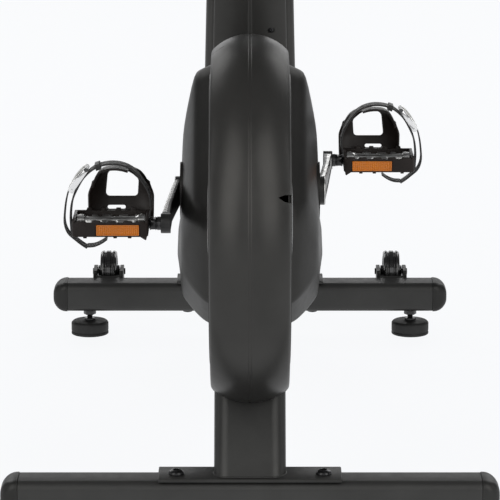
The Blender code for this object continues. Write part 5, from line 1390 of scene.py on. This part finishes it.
def console():
    """Shell with a raised bezel, a blank screen and four plain buttons."""
    levels = ((CONSOLE_BACK, 0.058, 0.038, 0.014), (-0.0175, 0.06, 0.04, 0.014),
              (-0.012, 0.078, 0.053, 0.017), (-0.008, 0.083, 0.0565, 0.018), (0.0, 0.0848, 0.0578, 0.02),
              (0.008, 0.085, 0.058, 0.02), (0.012, 0.0835, 0.0565, 0.019), (0.014, 0.08, 0.053, 0.018))
    shell = loft([section_ring(rounded_section(a, b, corner, 8), CONSOLE_AT + CONSOLE_FACE * depth,
                               X, CONSOLE_UP) for depth, a, b, corner in levels])

    def panel(middle, half_a, half_b, corner, low, high):
        section = [Vector((a, b + middle)) for a, b in rounded_section(half_a, half_b, corner, 8)]
        return prism(section, CONSOLE_AT, X, CONSOLE_UP, CONSOLE_FACE, low, high)

    cut(shell, panel(SCREEN_UP, 0.058, 0.029, 0.006, 0.0118, 0.02),
        panel(BUTTONS_UP, 0.058, 0.009, 0.0045, 0.012, 0.02))
    screen = bevel(panel(SCREEN_UP, 0.0575, 0.0285, 0.0058, 0.0119, 0.0128), 0.0003, 2)
    parts = [(shell, "console_gloss"), (screen, "screen")]
    row = CONSOLE_AT + CONSOLE_UP * BUTTONS_UP
    for k in range(4):
        x = -0.042 + 0.028 * k
        across = [Vector((a + x, b)) for a, b in rounded_section(0.0095, 0.0055, 0.005, 6)]
        button = prism(across, row, X, CONSOLE_UP, CONSOLE_FACE, 0.0118, 0.0138)
        parts.append((bevel(button, 0.0008, 3), "button"))
    model("console", "frame", "console_gloss", parts)


def tension_knob():
    """Fluted knob with a pointer, and the scale ring it stands on."""
    profile = [(0.0, 0.032, 0), (0.014, 0.0318, 0.002), (0.0185, 0.029, 0.003), (0.0212, 0.0045, 0.0015),
               (DIAL_R, 0.0, 0), (0.005, 0.0, 0), (0.005, -0.0295, 0.0005), (0.0045, -0.03, 0),
               (0.0, -0.03, 0)]
    knob = cut(turned(soften(profile), DIAL, Z, 72), *grip_flutes(DIAL, Z, 0.006, 0.04, 0.0232, 0.0034, 12))
    pointer = prism(rounded_section(0.0009, 0.0042, 0.0004), DIAL - Y * 0.0085, X, Y, Z, 0.031, 0.032)
    model("tension_knob", "tension_knob", "trim_plastic", [(knob, "trim_plastic"), (pointer, "button")])
    skirt = -0.0165
    scale = [(0.0275, skirt, 0), (0.0275, 0.0018, 0.0006), (0.0225, 0.0018, 0.0003), (0.0222, skirt, 0)]
    piece("tension_scale_ring", "frame", "trim_plastic", lathe(scale, DIAL, Z, 64, True))


def inner_works():
    """The CAD nodes that stay as they are get procedural materials."""
    finishes = {"flywheel": "iron_grey", "brake_shoe": "iron_grey", "flywheel_axle": "zinc",
                "bottom_bracket": "zinc", "crank_spindle": "zinc", "crank_pulley": "trim_plastic",
                "drive_belt": "belt_rubber", "frame_plate_left": "frame_paint",
                "frame_plate_right": "frame_paint", "seat_tube": "frame_paint"}
    for name, finish in finishes.items():
        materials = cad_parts[name].data.materials
        materials.clear()
        materials.append(LOOKS[finish])


# ---- camera, floor and light ----------------------------------------------------------------------------
def glow(name, colour, camera_strength, light_strength):
    world = bpy.data.worlds.new(name)
    bpy.context.scene.world = world
    world.use_nodes = True
    tree = world.node_tree
    sky = tree.nodes["Background"]
    sky.inputs["Color"].default_value = (*colour, 1.0)
    seen = node(tree, "LightPath").outputs["Is Camera Ray"]
    tree.links.new(spread(tree, seen, light_strength, camera_strength, 0.0, 1.0), sky.inputs["Strength"])


def softbox(name, at, aim, width, height, power, tone=(1.0, 1.0, 1.0)):
    lamp = bpy.data.lights.new(name, 'AREA')
    lamp.shape = 'RECTANGLE'
    lamp.size, lamp.size_y = width, height
    lamp.energy = power
    lamp.color = tone
    obj = placed(name, lamp)
    obj.location = at
    obj.rotation_euler = (Vector(aim) - Vector(at)).to_track_quat('-Z', 'Y').to_euler()
    obj.visible_camera = False


def floor():
    shape = bmesh.new()
    bmesh.ops.create_grid(shape, x_segments=8, y_segments=8, size=30.0)
    obj = raw(shape, "floor")
    material = bpy.data.materials.new("pale_floor")
    material.use_nodes = True
    shader = material.node_tree.nodes["Principled BSDF"]
    values = {"Base Color": (0.06, 0.06, 0.06, 1.0), "Roughness": 0.9, "Specular IOR Level": 0.1,
              "Emission Color": (0.974, 0.984, 1.0, 1.0), "Emission Strength": 0.925}
    for socket, value in values.items():
        shader.inputs[socket].default_value = value
    obj.data.materials.append(material)


def studio():
    camera = bpy.data.cameras.new("camera")
    camera.sensor_width, camera.lens = 36.0, 227.1
    camera.clip_end = 100.0
    view = placed("camera", camera)
    view.location = (0.0, -3.827, 1.1076)
    view.rotation_euler = (math.radians(77.06), 0.0, 0.0)
    bpy.context.scene.camera = view
    bpy.context.scene.view_settings.view_transform = 'Standard'
    floor()
    glow("studio", (0.939, 0.947, 0.965), 1.0, 0.19)
    for side, hand in SIDES:
        softbox(f"{hand}_box", (side * 1.9, -2.4, 1.9), (0.0, -0.4, 0.4), 2.0, 3.4, 52.0, (1.0, 0.99, 0.97))
        softbox(f"{hand}_strip", (side * 3.0, 0.1, 0.8), (0.0, -0.2, 0.4), 0.5, 2.6, 8.0)
        softbox(f"{hand}_front_box", (side * 1.7, 2.6, 2.2), (0.0, -0.3, 0.5), 1.4, 1.4, 16.0)
    softbox("back_box", (0.0, 4.5, 1.1), (0.0, 0.0, 0.2), 5.0, 0.8, 26.0)
    softbox("fill_box", (0.0, -4.6, 1.9), (0.0, -0.4, 0.4), 1.4, 2.6, 16.0)


base()
for side, hand in SIDES:
    housing(side, hand)
    crank_cover(side, hand)
for build in (housing_trim, drive, seat_post, saddle_rail, saddle_base, saddle_cushion, seat_sleeve, seat_pin,
              mast, handlebar_clamp, handlebar, console, tension_knob, inner_works, studio):
    build()
